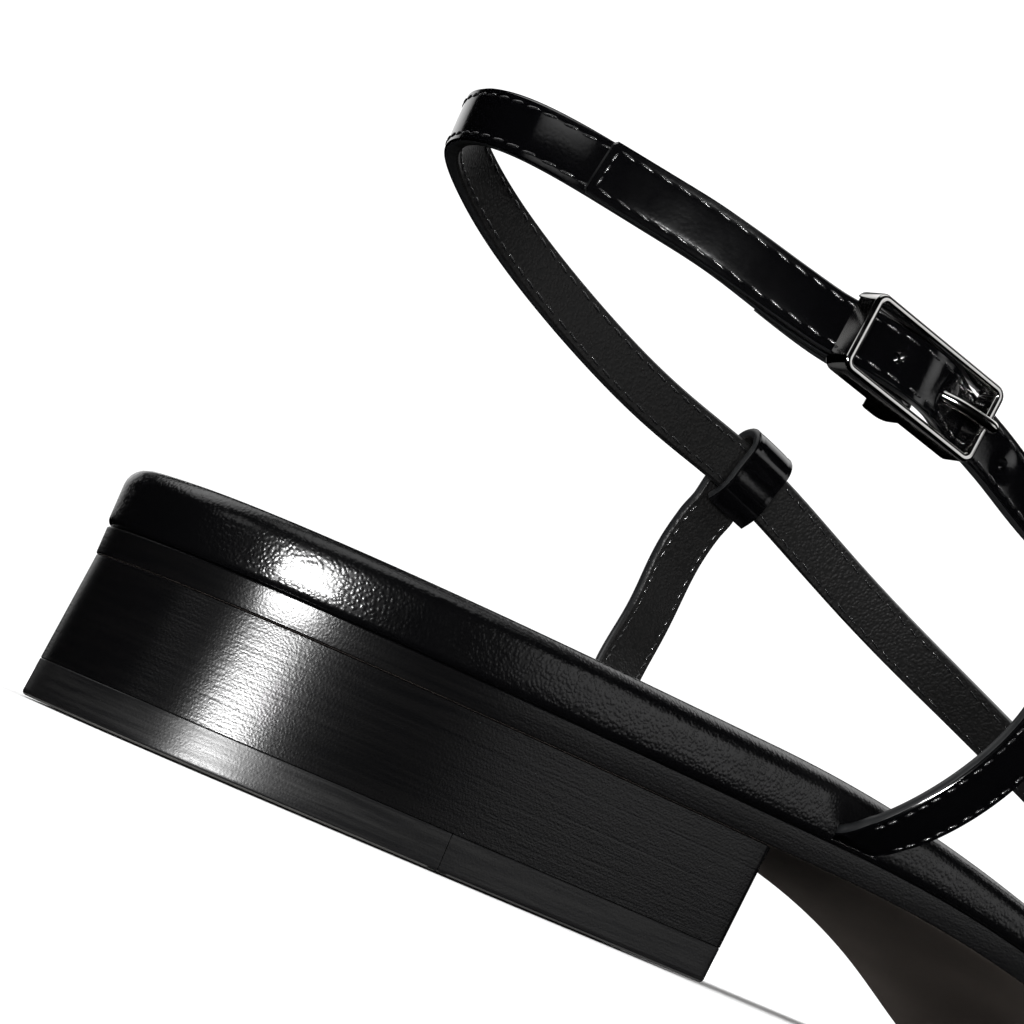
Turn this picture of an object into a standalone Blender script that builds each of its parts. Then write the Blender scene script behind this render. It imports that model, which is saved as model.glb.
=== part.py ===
"""Leather toe-post sandal with an ankle strap, right shoe, as separate pieces.

Working sizes are millimetres from the heel's back: x to the toe, y to the wearer's left, z up from the floor.
Every mesh is made in metres, and the whole is moved so that its box stands on z = 0 about the middle.
"""
import math

import bmesh
import bpy
import numpy as np
from mathutils import Matrix, Vector

for old in list(bpy.data.objects):
    bpy.data.objects.remove(old, do_unlink=True)

MM = 0.001
GAP = 0.3                  # room between pieces that touch

# Sole
LENGTH = 245.0             # footbed, heel back to toe tip
HEEL_WIDTH = 52.0          # heel block, widest
HEEL_ROUND = 50.0          # length of the rounded back of the heel
HEEL_POWER = 2.5           # fullness of that round
BREAST_X = 78.2            # front face of the heel, at its top
BREAST_LEAN = 1.6          # how far its foot stands back
HEEL_BACK = -0.7           # heel block's back at the floor
HEEL_BACK_LEAN = 1.8       # how far its top stands forward of that
FOOTBED_BACK = 1.0         # footbed's back
BREAST_HOLLOW = 1.9        # how far the breast is hollowed in plan
BREAST_CORNER = 1.2        # radius of its upright corners
TOP_LIFT = 4.2             # bottom layer of the heel
HEEL_HEIGHT = 16.8         # heel block and top lift together
RUBBER_X = 35.3            # where the rubber half of the top lift ends
EDGE_BREAK = 0.4           # small chamfer on lower edges
OUTSOLE_THICK = 3.2
FOOTBED_HEEL = 7.0         # footbed at the heel
FOOTBED_FORE = 4.3         # and under the toes
FOOTBED_THIN_X = (74.0, 134.0)   # where it thins from one to the other
FOOTBED_ROUND = 2.4        # radius of its wrapped top edge
FOOTBED_DISH = 0.9         # hollow along its middle
FOOTBED_OVER = 1.0         # how far the footbed overhangs the heel block
OUTSOLE_OVER = 0.4
TREAD_START = 180.0        # flat part of the tread under the ball
TREAD_END = 204.0
SHANK_POWER = 1.6          # how late the shank drops to the ball
TOE_SPRING = 5.0
TOE_Y = 6.5                # toe tip, to the big-toe side
TOE_LATERAL_X = 190.0      # widest points, outer and inner side
TOE_MEDIAL_X = 200.0
TOE_LATERAL_POWER = 2.05
TOE_MEDIAL_POWER = 2.35

# Half widths of the footbed past the round of the heel: x, outer side, inner side
PLAN = (
    (50.0, 27.0, 27.0),
    (64.0, 26.5, 26.2),
    (78.0, 25.6, 24.6),
    (96.0, 25.2, 22.6),
    (116.0, 26.6, 21.8),
    (136.0, 30.2, 24.2),
    (156.0, 34.8, 29.8),
    (174.0, 38.0, 35.2),
    (190.0, 39.2, 38.2),
    (200.0, 38.4, 39.0),
)

# Straps
STRAP_WIDTH = 6.6
STRAP_THICK = 1.8
STRAP_EDGE = 0.45
LAYER = STRAP_THICK + GAP + 0.2
POST_X = 196.0             # toe post, between the first two toes
POST_Y = 9.0
POST_RADIUS = 2.9
POST_TOP = 27.4
POST_DEEP = 3.4

# Long strap's run: x, y, z, lean of its outer face from upright towards the sky
LONG_ROWS = (
    (196.0, 9.3, 24.6, 58.0),
    (187.0, 12.6, 29.6, 54.0),
    (171.0, 17.6, 36.0, 46.0),
    (150.0, 23.6, 43.8, 34.0),
    (125.0, 29.6, 52.2, 20.0),
    (112.0, 31.8, 57.0, 14.0),
    (100.0, 32.8, 60.9, 9.0),
    (86.0, 32.0, 62.9, 6.0),
    (66.0, 31.1, 67.6, 2.0),
    (45.7, 28.6, 74.2, 0.0),
    (36.8, 24.0, 76.7, 0.0),
    (28.5, 16.9, 78.4, 0.0),
    (23.2, 7.4, 78.9, 0.0),
    (22.2, -2.6, 78.5, 0.0),
    (26.9, -11.4, 77.0, 0.0),
    (33.9, -18.9, 75.1, 0.0),
    (42.0, -25.6, 73.6, 0.0),
)

# Short strap's run, from the toe post to the buckle, same columns
SHORT_ROWS = (
    (196.0, 8.7, 24.6, 58.0),
    (187.0, 4.4, 29.6, 54.0),
    (171.0, -5.4, 36.2, 46.0),
    (150.0, -16.4, 44.0, 34.0),
    (125.0, -26.0, 51.8, 20.0),
    (113.0, -29.2, 56.4, 14.0),
    (102.0, -30.9, 60.0, 9.0),
    (90.0, -32.4, 62.9, 5.0),
    (79.7, -34.1, 65.1, 3.0),
)

# Buckle: bar centre, and the way the strap runs there
BUCKLE_AT = (59.9, -34.0, 68.9)
BUCKLE_RUN = (0.986, -0.068, -0.150)
BUCKLE_LEAN = 3.3          # degrees, face tipped to the sky
BAR_RADIUS = 0.9
FRAME_LONG = 21.1
FRAME_WIDE = 9.6
FRAME_WALL = 0.8
FRAME_BAR = 1.15
FRAME_TOP = 5.3
FRAME_BOTTOM = 1.4
END_BAR_BOTTOM = 2.2
LUG_HALF = 1.9
LUG_BOTTOM = -1.3
FRAME_BEVEL = 0.55
PRONG_RADIUS = 0.7
PRONG_RING = BAR_RADIUS + GAP + PRONG_RADIUS
STRAP_HIGH = 0.3           # straps ride this far above the middle of the frame
PRONG_SLOT = 1.15          # half width of the slot in the folded strap
SLOT_LONG = 6.6            # the slot along the strap
SLOT_AT = 0.6              # its middle, from the bar

# Runs inside the buckle: along the strap, outward from the bar
FOLD = BAR_RADIUS + GAP + STRAP_THICK / 2
LONG_IN_BUCKLE = (
    (-14.5, -4.5),
    (-10.0, -2.1),
    (-4.6, 0.7),
    (-1.8, 1.85),
)
LONG_RETURN = (
    (-3.4, -2.05),
    (-8.0, -3.35),
    (-11.8, -4.95),
)
SHORT_IN_BUCKLE = (
    (14.0, -0.2),
    (10.0, 0.65),
    (6.4, 2.3),
    (3.3, 3.95),
    (0.2, 4.4),
    (-4.4, 3.3),
    (-10.0, 0.35),
    (-14.5, -2.05),
)
SKIVED = 0.5               # thickness of the long strap's turned-back end
SKIVED_LONG = 9.5          # length over which it thins to that
TIP_OVERLAP = 26.4         # how far the short strap lies on the long one past those rows
PRONG_ROWS = (
    (2.2, 2.3),
    (4.3, 3.6),
    (6.4, 5.2),
    (8.6, 6.15),
    (10.1, 6.4),
    (10.9, 6.2),
)

# Side tabs: x, distance beyond the footbed's edge, z
TAB_WIDTH = 7.2
TAB_THICK = 1.4
TAB_X = 88.9
TAB_ROWS = (
    (88.9, -4.8, 21.6),
    (88.9, -1.4, 21.6),
    (89.5, 2.1, 22.4),
    (91.1, 5.0, 25.4),
    (93.1, 7.4, 29.1),
    (95.5, 9.4, 34.0),
    (97.9, 10.4, 39.4),
    (99.9, 10.3, 45.0),
)
TAB_CLEAR = 4.4            # how far outside the strap the tab's last row passes
LOOP_OUT = STRAP_THICK / 2 + GAP + 0.1 + TAB_THICK / 2
LOOP_TOP = STRAP_WIDTH / 2 + GAP + 0.1 - 1.1
# Loop rows: up along the strap's width from its middle, outward
LOOP_UP = (
    (-9.4, 2.1),
    (-6.2, 1.55),
    (-3.2, LOOP_OUT),
    (0.0, LOOP_OUT),
    (LOOP_TOP, LOOP_OUT),
)
LOOP_DOWN = (
    (LOOP_TOP, -LOOP_OUT),
    (0.0, -LOOP_OUT),
    (-3.2, -LOOP_OUT),
    (-6.2, -0.75),
    (-8.8, -0.2),
)
LEFT_LOOP_ROW = 6          # rows of the strap tables that sit in the loops
RIGHT_LOOP_ROW = 6

SHOE = bpy.data.collections.new("sandal")
CUTTERS = bpy.data.collections.new("cutters")
bpy.context.scene.collection.children.link(SHOE)
bpy.context.scene.collection.children.link(CUTTERS)


def material(name, colour, roughness, metallic=0.0):
    """One Principled material."""
    mat = bpy.data.materials.new(name)
    mat.use_nodes = True
    shader = mat.node_tree.nodes["Principled BSDF"]
    shader.inputs["Base Color"].default_value = (*colour, 1.0)
    shader.inputs["Roughness"].default_value = roughness
    shader.inputs["Metallic"].default_value = metallic
    mat.diffuse_color = (*colour, 1.0)
    return mat


def keep(name, work, mat):
    """Makes an object of a worked mesh, its faces turned outward; with no material it is a cutter."""
    bmesh.ops.recalc_face_normals(work, faces=work.faces)
    mesh = bpy.data.meshes.new(name)
    work.to_mesh(mesh)
    work.free()
    ob = bpy.data.objects.new(name, mesh)
    if mat is None:
        CUTTERS.objects.link(ob)
        ob.hide_render = True
        ob.display_type = "WIRE"
    else:
        SHOE.objects.link(ob)
        mesh.materials.append(mat)
    return ob


def loft(name, points, faces, mat):
    """An object from rings of millimetre points that no primitive makes."""
    mesh = bpy.data.meshes.new(name)
    mesh.from_pydata([(p[0] * MM, p[1] * MM, p[2] * MM) for p in points], [], faces)
    work = bmesh.new()
    work.from_mesh(mesh)
    bmesh.ops.remove_doubles(work, verts=work.verts, dist=1e-7)
    return keep(name, work, mat)


def placed(centre, axes):
    """Matrix of a place in millimetres and three directions."""
    matrix = Matrix.Identity(4)
    for row in range(3):
        for column in range(3):
            matrix[row][column] = axes[column][row]
        matrix[row][3] = centre[row] * MM
    return matrix


def apply_boolean(ob, other, operation):
    """Cuts or joins with the exact solver and keeps the result as the object's own mesh."""
    mod = ob.modifiers.new(operation.lower(), "BOOLEAN")
    mod.operation = operation
    mod.solver = "EXACT"
    mod.object = other
    bpy.context.view_layer.update()
    graph = bpy.context.evaluated_depsgraph_get()
    mesh = bpy.data.meshes.new_from_object(ob.evaluated_get(graph))
    ob.modifiers.remove(mod)
    work = bmesh.new()
    work.from_mesh(mesh)
    bmesh.ops.remove_doubles(work, verts=work.verts, dist=2e-6)
    bmesh.ops.dissolve_degenerate(work, edges=work.edges, dist=1e-6)
    work.to_mesh(mesh)
    work.free()
    ob.data = mesh


def box(name, centre, axes, sizes, mat=None):
    """A box on three given directions."""
    work = bmesh.new()
    scale = Matrix.Diagonal((sizes[0] * MM, sizes[1] * MM, sizes[2] * MM, 1.0))
    bmesh.ops.create_cube(work, size=1.0, matrix=placed(centre, axes) @ scale)
    return keep(name, work, mat)


def rod(name, start, end, radius, sides):
    """A round bar between two points."""
    length = np.linalg.norm(end - start)
    run = (end - start) / length
    side = np.cross(run, (0.0, 0.0, 1.0) if abs(run[2]) < 0.9 else (1.0, 0.0, 0.0))
    side = side / np.linalg.norm(side)
    axes = (side, np.cross(run, side), run)
    work = bmesh.new()
    bmesh.ops.create_cone(work, cap_ends=True, segments=sides, radius1=radius * MM, radius2=radius * MM,
                          depth=length * MM, matrix=placed((start + end) / 2, axes))
    return keep(name, work, None)


# Heights of the sole along the shoe

SEAT = HEEL_HEIGHT + GAP


def underside(x):
    """Outsole's lower face: level seat, dropping shank, flat tread, toe spring."""
    if x <= BREAST_X:
        return SEAT
    if x < TREAD_START:
        u = ((x - BREAST_X) / (TREAD_START - BREAST_X)) ** SHANK_POWER
        return SEAT * (1 - u * u * (3 - 2 * u))
    if x <= TREAD_END:
        return 0.0
    return TOE_SPRING * ((x - TREAD_END) / (LENGTH - TREAD_END)) ** 2


def footbed_thick(x):
    """Footbed thickness, thinner towards the toes."""
    start, end = FOOTBED_THIN_X
    u = min(max((x - start) / (end - start), 0.0), 1.0)
    return FOOTBED_HEEL + (FOOTBED_FORE - FOOTBED_HEEL) * u * u * (3 - 2 * u)


def footbed_floor(x):
    return underside(x) + OUTSOLE_THICK + GAP


def footbed_top(x):
    return footbed_floor(x) + footbed_thick(x)


def spline(rows):
    """Natural cubic through the rows by chord length: (knots, values, second derivatives)."""
    values = np.array(rows, float)
    steps = np.linalg.norm(np.diff(values[:, :3], axis=0), axis=1)
    knots = np.concatenate([[0.0], np.cumsum(steps)])
    n = len(knots)
    system = np.eye(n)
    right = np.zeros_like(values)
    for i in range(1, n - 1):
        system[i, i - 1] = steps[i - 1]
        system[i, i] = 2 * (steps[i - 1] + steps[i])
        system[i, i + 1] = steps[i]
        right[i] = 6 * ((values[i + 1] - values[i]) / steps[i] - (values[i] - values[i - 1]) / steps[i - 1])
    return knots, values, np.linalg.solve(system, right)


def along(curve, s):
    """The spline's value at distance s."""
    knots, values, bend = curve
    i = int(min(max(np.searchsorted(knots, s) - 1, 0), len(knots) - 2))
    h = knots[i + 1] - knots[i]
    a = (knots[i + 1] - s) / h
    b = (s - knots[i]) / h
    curl = ((a ** 3 - a) * bend[i] + (b ** 3 - b) * bend[i + 1]) * h * h / 6
    return a * values[i] + b * values[i + 1] + curl


def plan_half(x, side):
    """Distance of the footbed's edge from the middle line, side -1 outer and +1 inner."""
    column = 1 if side < 0 else 2
    widest = TOE_LATERAL_X if side < 0 else TOE_MEDIAL_X
    power = TOE_LATERAL_POWER if side < 0 else TOE_MEDIAL_POWER
    if x <= HEEL_ROUND:
        u = 1 - max(x - FOOTBED_BACK, 0.0) / (HEEL_ROUND - FOOTBED_BACK)
        return PLAN[0][column] * (1 - u ** HEEL_POWER) ** (1 / HEEL_POWER)
    xs = [row[0] for row in PLAN]
    hs = [row[column] for row in PLAN]
    if x >= widest:
        u = min((x - widest) / (LENGTH - widest), 1.0)
        start = float(np.interp(widest, xs, hs))
        tip = side * TOE_Y
        return tip + (start - tip) * (1 - u ** power) ** (1 / power)
    i = int(min(max(np.searchsorted(xs, x) - 1, 0), len(xs) - 2))
    slopes = []
    for k in (i, i + 1):
        if k == 0 or xs[k] >= widest:
            slopes.append(0.0)
        else:
            after = min(k + 1, len(xs) - 1)
            slopes.append((hs[after] - hs[k - 1]) / (xs[after] - xs[k - 1]))
    h = xs[i + 1] - xs[i]
    t = (x - xs[i]) / h
    return ((2 * t ** 3 - 3 * t ** 2 + 1) * hs[i] + (t ** 3 - 2 * t ** 2 + t) * h * slopes[0]
            + (3 * t ** 2 - 2 * t ** 3) * hs[i + 1] + (t ** 3 - t ** 2) * h * slopes[1])


def stations():
    """Places along the shoe where both edges have a point, closer together at the rounded ends."""
    back = HEEL_ROUND - FOOTBED_BACK
    xs = [FOOTBED_BACK + back * (1 - math.cos(math.pi / 2 * i / 12)) for i in range(12)]
    xs += [HEEL_ROUND, 60.0, 69.0, BREAST_X]
    xs += [BREAST_X + (TOE_LATERAL_X - 6 - BREAST_X) * i / 15 for i in range(1, 16)]
    start = xs[-1]
    xs += [start + (LENGTH - start) * math.sin(math.pi / 2 * i / 13) for i in range(1, 14)]
    return xs


STATIONS = stations()


def offset_ring(points, inward):
    """A closed plan outline moved square to itself."""
    pts = np.array(points, float)
    run = np.roll(pts, -1, axis=0) - np.roll(pts, 1, axis=0)
    run = run / np.linalg.norm(run, axis=1, keepdims=True)
    normal = np.stack([-run[:, 1], run[:, 0]], 1)
    return pts + normal * inward


def sole_ring(inward):
    """Outline of the whole sole: outer side from heel to toe, then the inner side back."""
    outer = [(x, -plan_half(x, -1)) for x in STATIONS]
    inner = [(x, plan_half(x, 1)) for x in STATIONS]
    ring = outer[:-1] + [(LENGTH, TOE_Y)] + inner[-2:0:-1]
    return offset_ring(ring, inward)


def slab(name, layers, dish, mat):
    """A sole layer from rings of plan outline, each with an inset and a height function, capped in strips."""
    points = []
    faces = []
    count = 0
    for inward, height in layers:
        ring = sole_ring(inward)
        count = len(ring)
        points += [(x, y, height(x)) for x, y in ring]
    for k in range(len(layers) - 1):
        for i in range(count):
            j = (i + 1) % count
            faces.append((k * count + i, k * count + j, (k + 1) * count + j, (k + 1) * count + i))
    half = count // 2
    for first, drop in ((0, 0.0), ((len(layers) - 1) * count, dish)):
        middle = [first]
        for i in range(1, half):
            right, left = points[first + i], points[first + count - i]
            wide = min(abs(left[1] - right[1]) / 40.0, 1.0)
            between = [(right[c] + left[c]) / 2 for c in range(3)]
            points.append((between[0], between[1], between[2] - drop * wide))
            middle.append(len(points) - 1)
        middle.append(first + half)
        for i in range(half):
            a, b = first + i, first + i + 1
            c = first + (count - i) % count
            d = first + (count - i - 1) % count
            faces.append(tuple(dict.fromkeys((a, b, middle[i + 1], middle[i]))))
            faces.append(tuple(dict.fromkeys((c, middle[i], middle[i + 1], d))))
    return loft(name, points, faces, mat)


def rounded(corner, before, after, radius, count=5):
    """Points of a small arc in place of a plan corner."""
    corner, before, after = (np.array(p, float) for p in (corner, before, after))
    a = (before - corner) / np.linalg.norm(before - corner)
    b = (after - corner) / np.linalg.norm(after - corner)
    start, end = corner + a * radius, corner + b * radius
    out = []
    for i in range(count):
        t = i / (count - 1)
        out.append((1 - t) ** 2 * start + 2 * t * (1 - t) * corner + t * t * end)
    return [tuple(p) for p in out]


def heel_plan(back, front, hollow, z):
    """Plan of a heel layer at height z between two places along the shoe; back 0 is the rounded heel."""
    inset = FOOTBED_OVER
    xs = [x for x in STATIONS if x <= front - 3.0 and x > back + 1.5]
    scale = HEEL_WIDTH / (2 * (PLAN[0][1] - inset))

    def half(x):
        return (plan_half(x, -1) - inset) * scale
    slide = HEEL_BACK + HEEL_BACK_LEAN * z / HEEL_HEIGHT - FOOTBED_OVER - FOOTBED_BACK
    outer = [(x, -half(x)) for x in xs]
    if back <= 0:
        rim = offset_ring([(x, -plan_half(x, -1)) for x in STATIONS[:-1]]
                          + [(x, plan_half(x, -1)) for x in STATIONS[-2:0:-1]], inset)
        keep = [(p[0] + slide * max(1 - p[0] / HEEL_ROUND, 0.0), p[1])
                for p in rim if p[1] <= 1e-6 and p[0] <= front - 3.0]
        outer = sorted(keep, key=lambda p: p[0])
    else:
        outer = [(back, -half(back))] + outer
    near = (front, -half(front))
    far = (front, half(front))
    breast = []
    for i in range(1, 8):
        y = near[1] + (far[1] - near[1]) * i / 8
        breast.append((front - hollow * (1 - (y / half(front)) ** 2), y))
    inner = [(x, -y) for x, y in outer if y < -1e-6][::-1]
    if hollow > 0:
        first = rounded(near, outer[-1], breast[0], BREAST_CORNER)
        last = rounded(far, breast[-1], inner[0], BREAST_CORNER)
        return outer + first + breast + last + inner
    return outer + [near, far] + inner


def breast_at(z):
    return BREAST_X - BREAST_LEAN * (1 - z / HEEL_HEIGHT)


def heel_layer(name, back, front, hollow, low, high, mat):
    """A flat layer of the heel with a small chamfer on its lower edge; no front means the leaning breast."""
    plans = []
    for z in (low, low + EDGE_BREAK, high):
        plans.append(np.array(heel_plan(back, breast_at(z) if front is None else front, hollow, z)))
    plan = plans[0]
    rings = [(offset_ring(plan, EDGE_BREAK), low), (plans[1], low + EDGE_BREAK), (plans[2], high)]
    points = [(x, y, z) for ring, z in rings for x, y in ring]
    n = len(plan)
    faces = [tuple(range(n)), tuple(range(2 * n, 3 * n))]
    for k in range(2):
        for i in range(n):
            j = (i + 1) % n
            faces.append((k * n + i, k * n + j, (k + 1) * n + j, (k + 1) * n + i))
    return loft(name, points, faces, mat)


LEATHER = material("black_leather", (0.012, 0.012, 0.013), 0.38)
STRAP_LEATHER = material("polished_strap_leather", (0.010, 0.010, 0.011), 0.25)
TAB_LEATHER = material("polished_tab_leather", (0.010, 0.010, 0.011), 0.27)
SOLE_LEATHER = material("black_sole_leather", (0.016, 0.015, 0.015), 0.42)
HEEL_LEATHER = material("burnished_heel_leather", (0.014, 0.013, 0.013), 0.34)
LIFT_LEATHER = material("top_lift_leather", (0.035, 0.034, 0.034), 0.45)
RUBBER = material("black_rubber", (0.030, 0.030, 0.032), 0.75)
STEEL = material("polished_nickel", (0.80, 0.79, 0.77), 0.10, 1.0)
PIN_STEEL = material("polished_nickel_pin", (0.80, 0.79, 0.77), 0.12, 1.0)

# Heel
heel_layer("heel_top_lift_rubber", 0.0, RUBBER_X - GAP / 2, 0.0, 0.0, TOP_LIFT, RUBBER)
heel_layer("heel_top_lift_leather", RUBBER_X + GAP / 2, None, BREAST_HOLLOW, 0.0, TOP_LIFT, LIFT_LEATHER)
heel_layer("heel_stack", 0.0, None, BREAST_HOLLOW, TOP_LIFT + GAP, HEEL_HEIGHT, HEEL_LEATHER)

# Outsole
EDGE = FOOTBED_OVER - OUTSOLE_OVER
slab("outsole", (
    (EDGE + EDGE_BREAK, underside),
    (EDGE, lambda x: underside(x) + EDGE_BREAK),
    (EDGE, lambda x: underside(x) + OUTSOLE_THICK),
), 0.0, SOLE_LEATHER)


# Footbed
def footbed_layer(rise):
    return lambda x: footbed_top(x) - rise


R = FOOTBED_ROUND
footbed = slab("footbed", (
    (0.7, footbed_floor),
    (0.0, lambda x: footbed_floor(x) + 1.0),
    (0.0, footbed_layer(R)),
    (R * (1 - math.cos(math.radians(30))), footbed_layer(R * (1 - math.sin(math.radians(30))))),
    (R * (1 - math.cos(math.radians(60))), footbed_layer(R * (1 - math.sin(math.radians(60))))),
    (R, footbed_layer(0.0)),
), FOOTBED_DISH, LEATHER)

UP = np.array((0.0, 0.0, 1.0))


def unit(v):
    return v / np.linalg.norm(v)


def thin_out(points, wide, turn=9.0, reach=7.0, extra=None):
    """Keeps as few stations as hold the curve's shape."""
    runs = np.gradient(points, axis=0)
    keep = [0]
    for i in range(1, len(points) - 1):
        a, b = unit(runs[keep[-1]]), unit(runs[i])
        bend = math.degrees(math.acos(float(np.clip(a @ b, -1, 1))))
        if bend > turn or np.linalg.norm(points[i] - points[keep[-1]]) > reach:
            keep.append(i)
    keep.append(len(points) - 1)
    if extra is not None:
        return points[keep], wide[keep], runs[keep], extra[keep]
    return points[keep], wide[keep], runs[keep]


def strap_run(rows, outward):
    """Points and width directions of a strap on edge round the foot, leaning as its table says."""
    curve = spline(rows)
    total = curve[0][-1]
    count = int(total / 0.5)
    out = np.array([along(curve, total * i / count) for i in range(count + 1)])
    points = out[:, :3]
    runs = np.gradient(points, axis=0)
    wide = []
    for run, lean in zip(runs, np.radians(out[:, 3])):
        t = unit(run)
        level = unit(np.cross(t, UP)) * outward
        rise = unit(UP - (UP @ t) * t)
        wide.append(rise * math.cos(lean) - level * math.sin(lean))
    return points, np.array(wide)


def flat_run(rows, at, along_axis, out_axis, wide_axis, step=0.3):
    """Points in a plane through a place, from rows of two distances, with one width direction."""
    curve = spline([(a, b, 0.0) for a, b in rows])
    total = curve[0][-1]
    count = max(int(total / step), 2)
    flat = np.array([along(curve, total * i / count) for i in range(count + 1)])
    points = at + np.outer(flat[:, 0], along_axis) + np.outer(flat[:, 1], out_axis)
    return points, np.tile(wide_axis, (len(points), 1))


def blend_runs(parts, step=0.4):
    """Joins runs end to end on one smooth curve."""
    rows = []
    for points, wide in parts:
        for p, w in zip(points, wide):
            rows.append((*p, *w))
    curve = spline(rows)
    total = curve[0][-1]
    count = int(total / step)
    out = np.array([along(curve, total * i / count) for i in range(count + 1)])
    return out[:, :3], out[:, 3:6]


def ribbon(name, points, wide, width, thick, edge, mat, turn=9.0, reach=7.0):
    """A strap of even width with eased edges; thick is one size or one for each station."""
    sizes = np.broadcast_to(np.array(thick, float), (len(points),)).copy()
    points, wide, runs, sizes = thin_out(points, wide, turn, reach, sizes)
    verts = []
    faces = []
    n = 8
    for p, w, run, size in zip(points, wide, runs, sizes):
        t = unit(run)
        w = unit(w - (w @ t) * t)
        face = np.cross(w, t)
        ease = min(edge, size / 4)
        a, b, c, d = width / 2, width / 2 - ease, size / 2, size / 2 - ease
        section = ((a, d), (b, c), (-b, c), (-a, d), (-a, -d), (-b, -c), (b, -c), (a, -d))
        verts += [p + w * u + face * v for u, v in section]
    for i in range(len(points) - 1):
        for j in range(n):
            k = (j + 1) % n
            faces.append((i * n + j, i * n + k, (i + 1) * n + k, (i + 1) * n + j))
    faces.append(tuple(range(n)))
    faces.append(tuple(range(len(verts) - n, len(verts))))
    return loft(name, verts, faces, mat)


# Straps: the long one goes on to the fold round the bar, the short one under and over in the frame
BAR = np.array(BUCKLE_AT)
BUCKLE_T = unit(np.array(BUCKLE_RUN))
LEVEL_N = unit(np.cross(BUCKLE_T, UP))
RISE_W = unit(UP - (UP @ BUCKLE_T) * BUCKLE_T)
TIP = math.radians(BUCKLE_LEAN)
BUCKLE_N = LEVEL_N * math.cos(TIP) + RISE_W * math.sin(TIP)
BUCKLE_W = RISE_W * math.cos(TIP) - LEVEL_N * math.sin(TIP)
AXES = (BUCKLE_T, BUCKLE_N, BUCKLE_W)


def in_buckle(s, n, w=0.0):
    return BAR + BUCKLE_T * s + BUCKLE_N * n + BUCKLE_W * w


fold = [(FOLD * math.sin(math.radians(a)), FOLD * math.cos(math.radians(a))) for a in range(0, 181, 20)]
long_points, long_wide = strap_run(LONG_ROWS, 1.0)
SEATED = BAR + BUCKLE_W * STRAP_HIGH
inside = flat_run(LONG_IN_BUCKLE + tuple(fold) + LONG_RETURN, SEATED, BUCKLE_T, BUCKLE_N, BUCKLE_W)
bridge_points, bridge_wide = blend_runs([
    (long_points[::12], long_wide[::12]),
    (inside[0][1:12:2], inside[1][1:12:2]),
])
nearest = int(np.argmin(np.linalg.norm(bridge_points - in_buckle(*LONG_IN_BUCKLE[0]), axis=1)))
runs = np.gradient(bridge_points, axis=0)


def beside_long(reach, shift):
    """Stations along the long strap back from the buckle, moved square to its face."""
    points = []
    wide = []
    for i in range(nearest - 10, nearest - int(reach / 0.4), -8):
        t = unit(runs[i])
        w = unit(bridge_wide[i] - (bridge_wide[i] @ t) * t)
        points.append(bridge_points[i] + np.cross(t, w) * shift)
        wide.append(w)
    return np.array(points), np.array(wide)


whole_points, whole_wide = blend_runs([
    (long_points[::12], long_wide[::12]),
    (inside[0][1::2], inside[1][1::2]),
], 0.3)
steps = np.linalg.norm(np.diff(whole_points[::-1], axis=0), axis=1)
from_end = np.concatenate([[0.0], np.cumsum(steps)])[::-1]
taper = np.clip(from_end / SKIVED_LONG, 0.0, 1.0)
long_thick = SKIVED + (STRAP_THICK - SKIVED) * taper
strap = ribbon("strap_upper", whole_points, whole_wide, STRAP_WIDTH, long_thick, STRAP_EDGE, STRAP_LEATHER,
               14.0)
short_points, short_wide = strap_run(SHORT_ROWS, -1.0)
crossing = flat_run(SHORT_IN_BUCKLE, SEATED, BUCKLE_T, BUCKLE_N, BUCKLE_W)
tip_points, tip_wide = blend_runs([
    (short_points[::12], short_wide[::12]),
    (crossing[0][::5], crossing[1][::5]),
    beside_long(TIP_OVERLAP, LAYER),
], 0.3)
short = ribbon("short_strap", tip_points, tip_wide, STRAP_WIDTH, STRAP_THICK, STRAP_EDGE, STRAP_LEATHER, 12.0)

hole_from = in_buckle(*PRONG_ROWS[0])
hole_to = in_buckle(*PRONG_ROWS[2])
apply_boolean(short, rod("prong_hole", hole_from, hole_to, PRONG_RADIUS + 0.4, 16), "DIFFERENCE")
slot = box("prong_slot", in_buckle(SLOT_AT, 0.0), AXES, (SLOT_LONG, SLOT_LONG, 2 * PRONG_SLOT))
apply_boolean(strap, slot, "DIFFERENCE")

post_floor = footbed_top(POST_X) - POST_DEEP
post_head = np.array((POST_X, POST_Y, POST_TOP))
post = rod("toe_post", np.array((POST_X, POST_Y, post_floor + GAP)), post_head, POST_RADIUS, 20)
apply_boolean(strap, short, "UNION")
apply_boolean(strap, post, "UNION")
SHOE.objects.unlink(short)
CUTTERS.objects.link(short)
short.hide_render = True
short.display_type = "WIRE"
well = rod("toe_post_well", np.array((POST_X, POST_Y, post_floor)), post_head, POST_RADIUS + GAP, 20)
apply_boolean(footbed, well, "DIFFERENCE")


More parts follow.
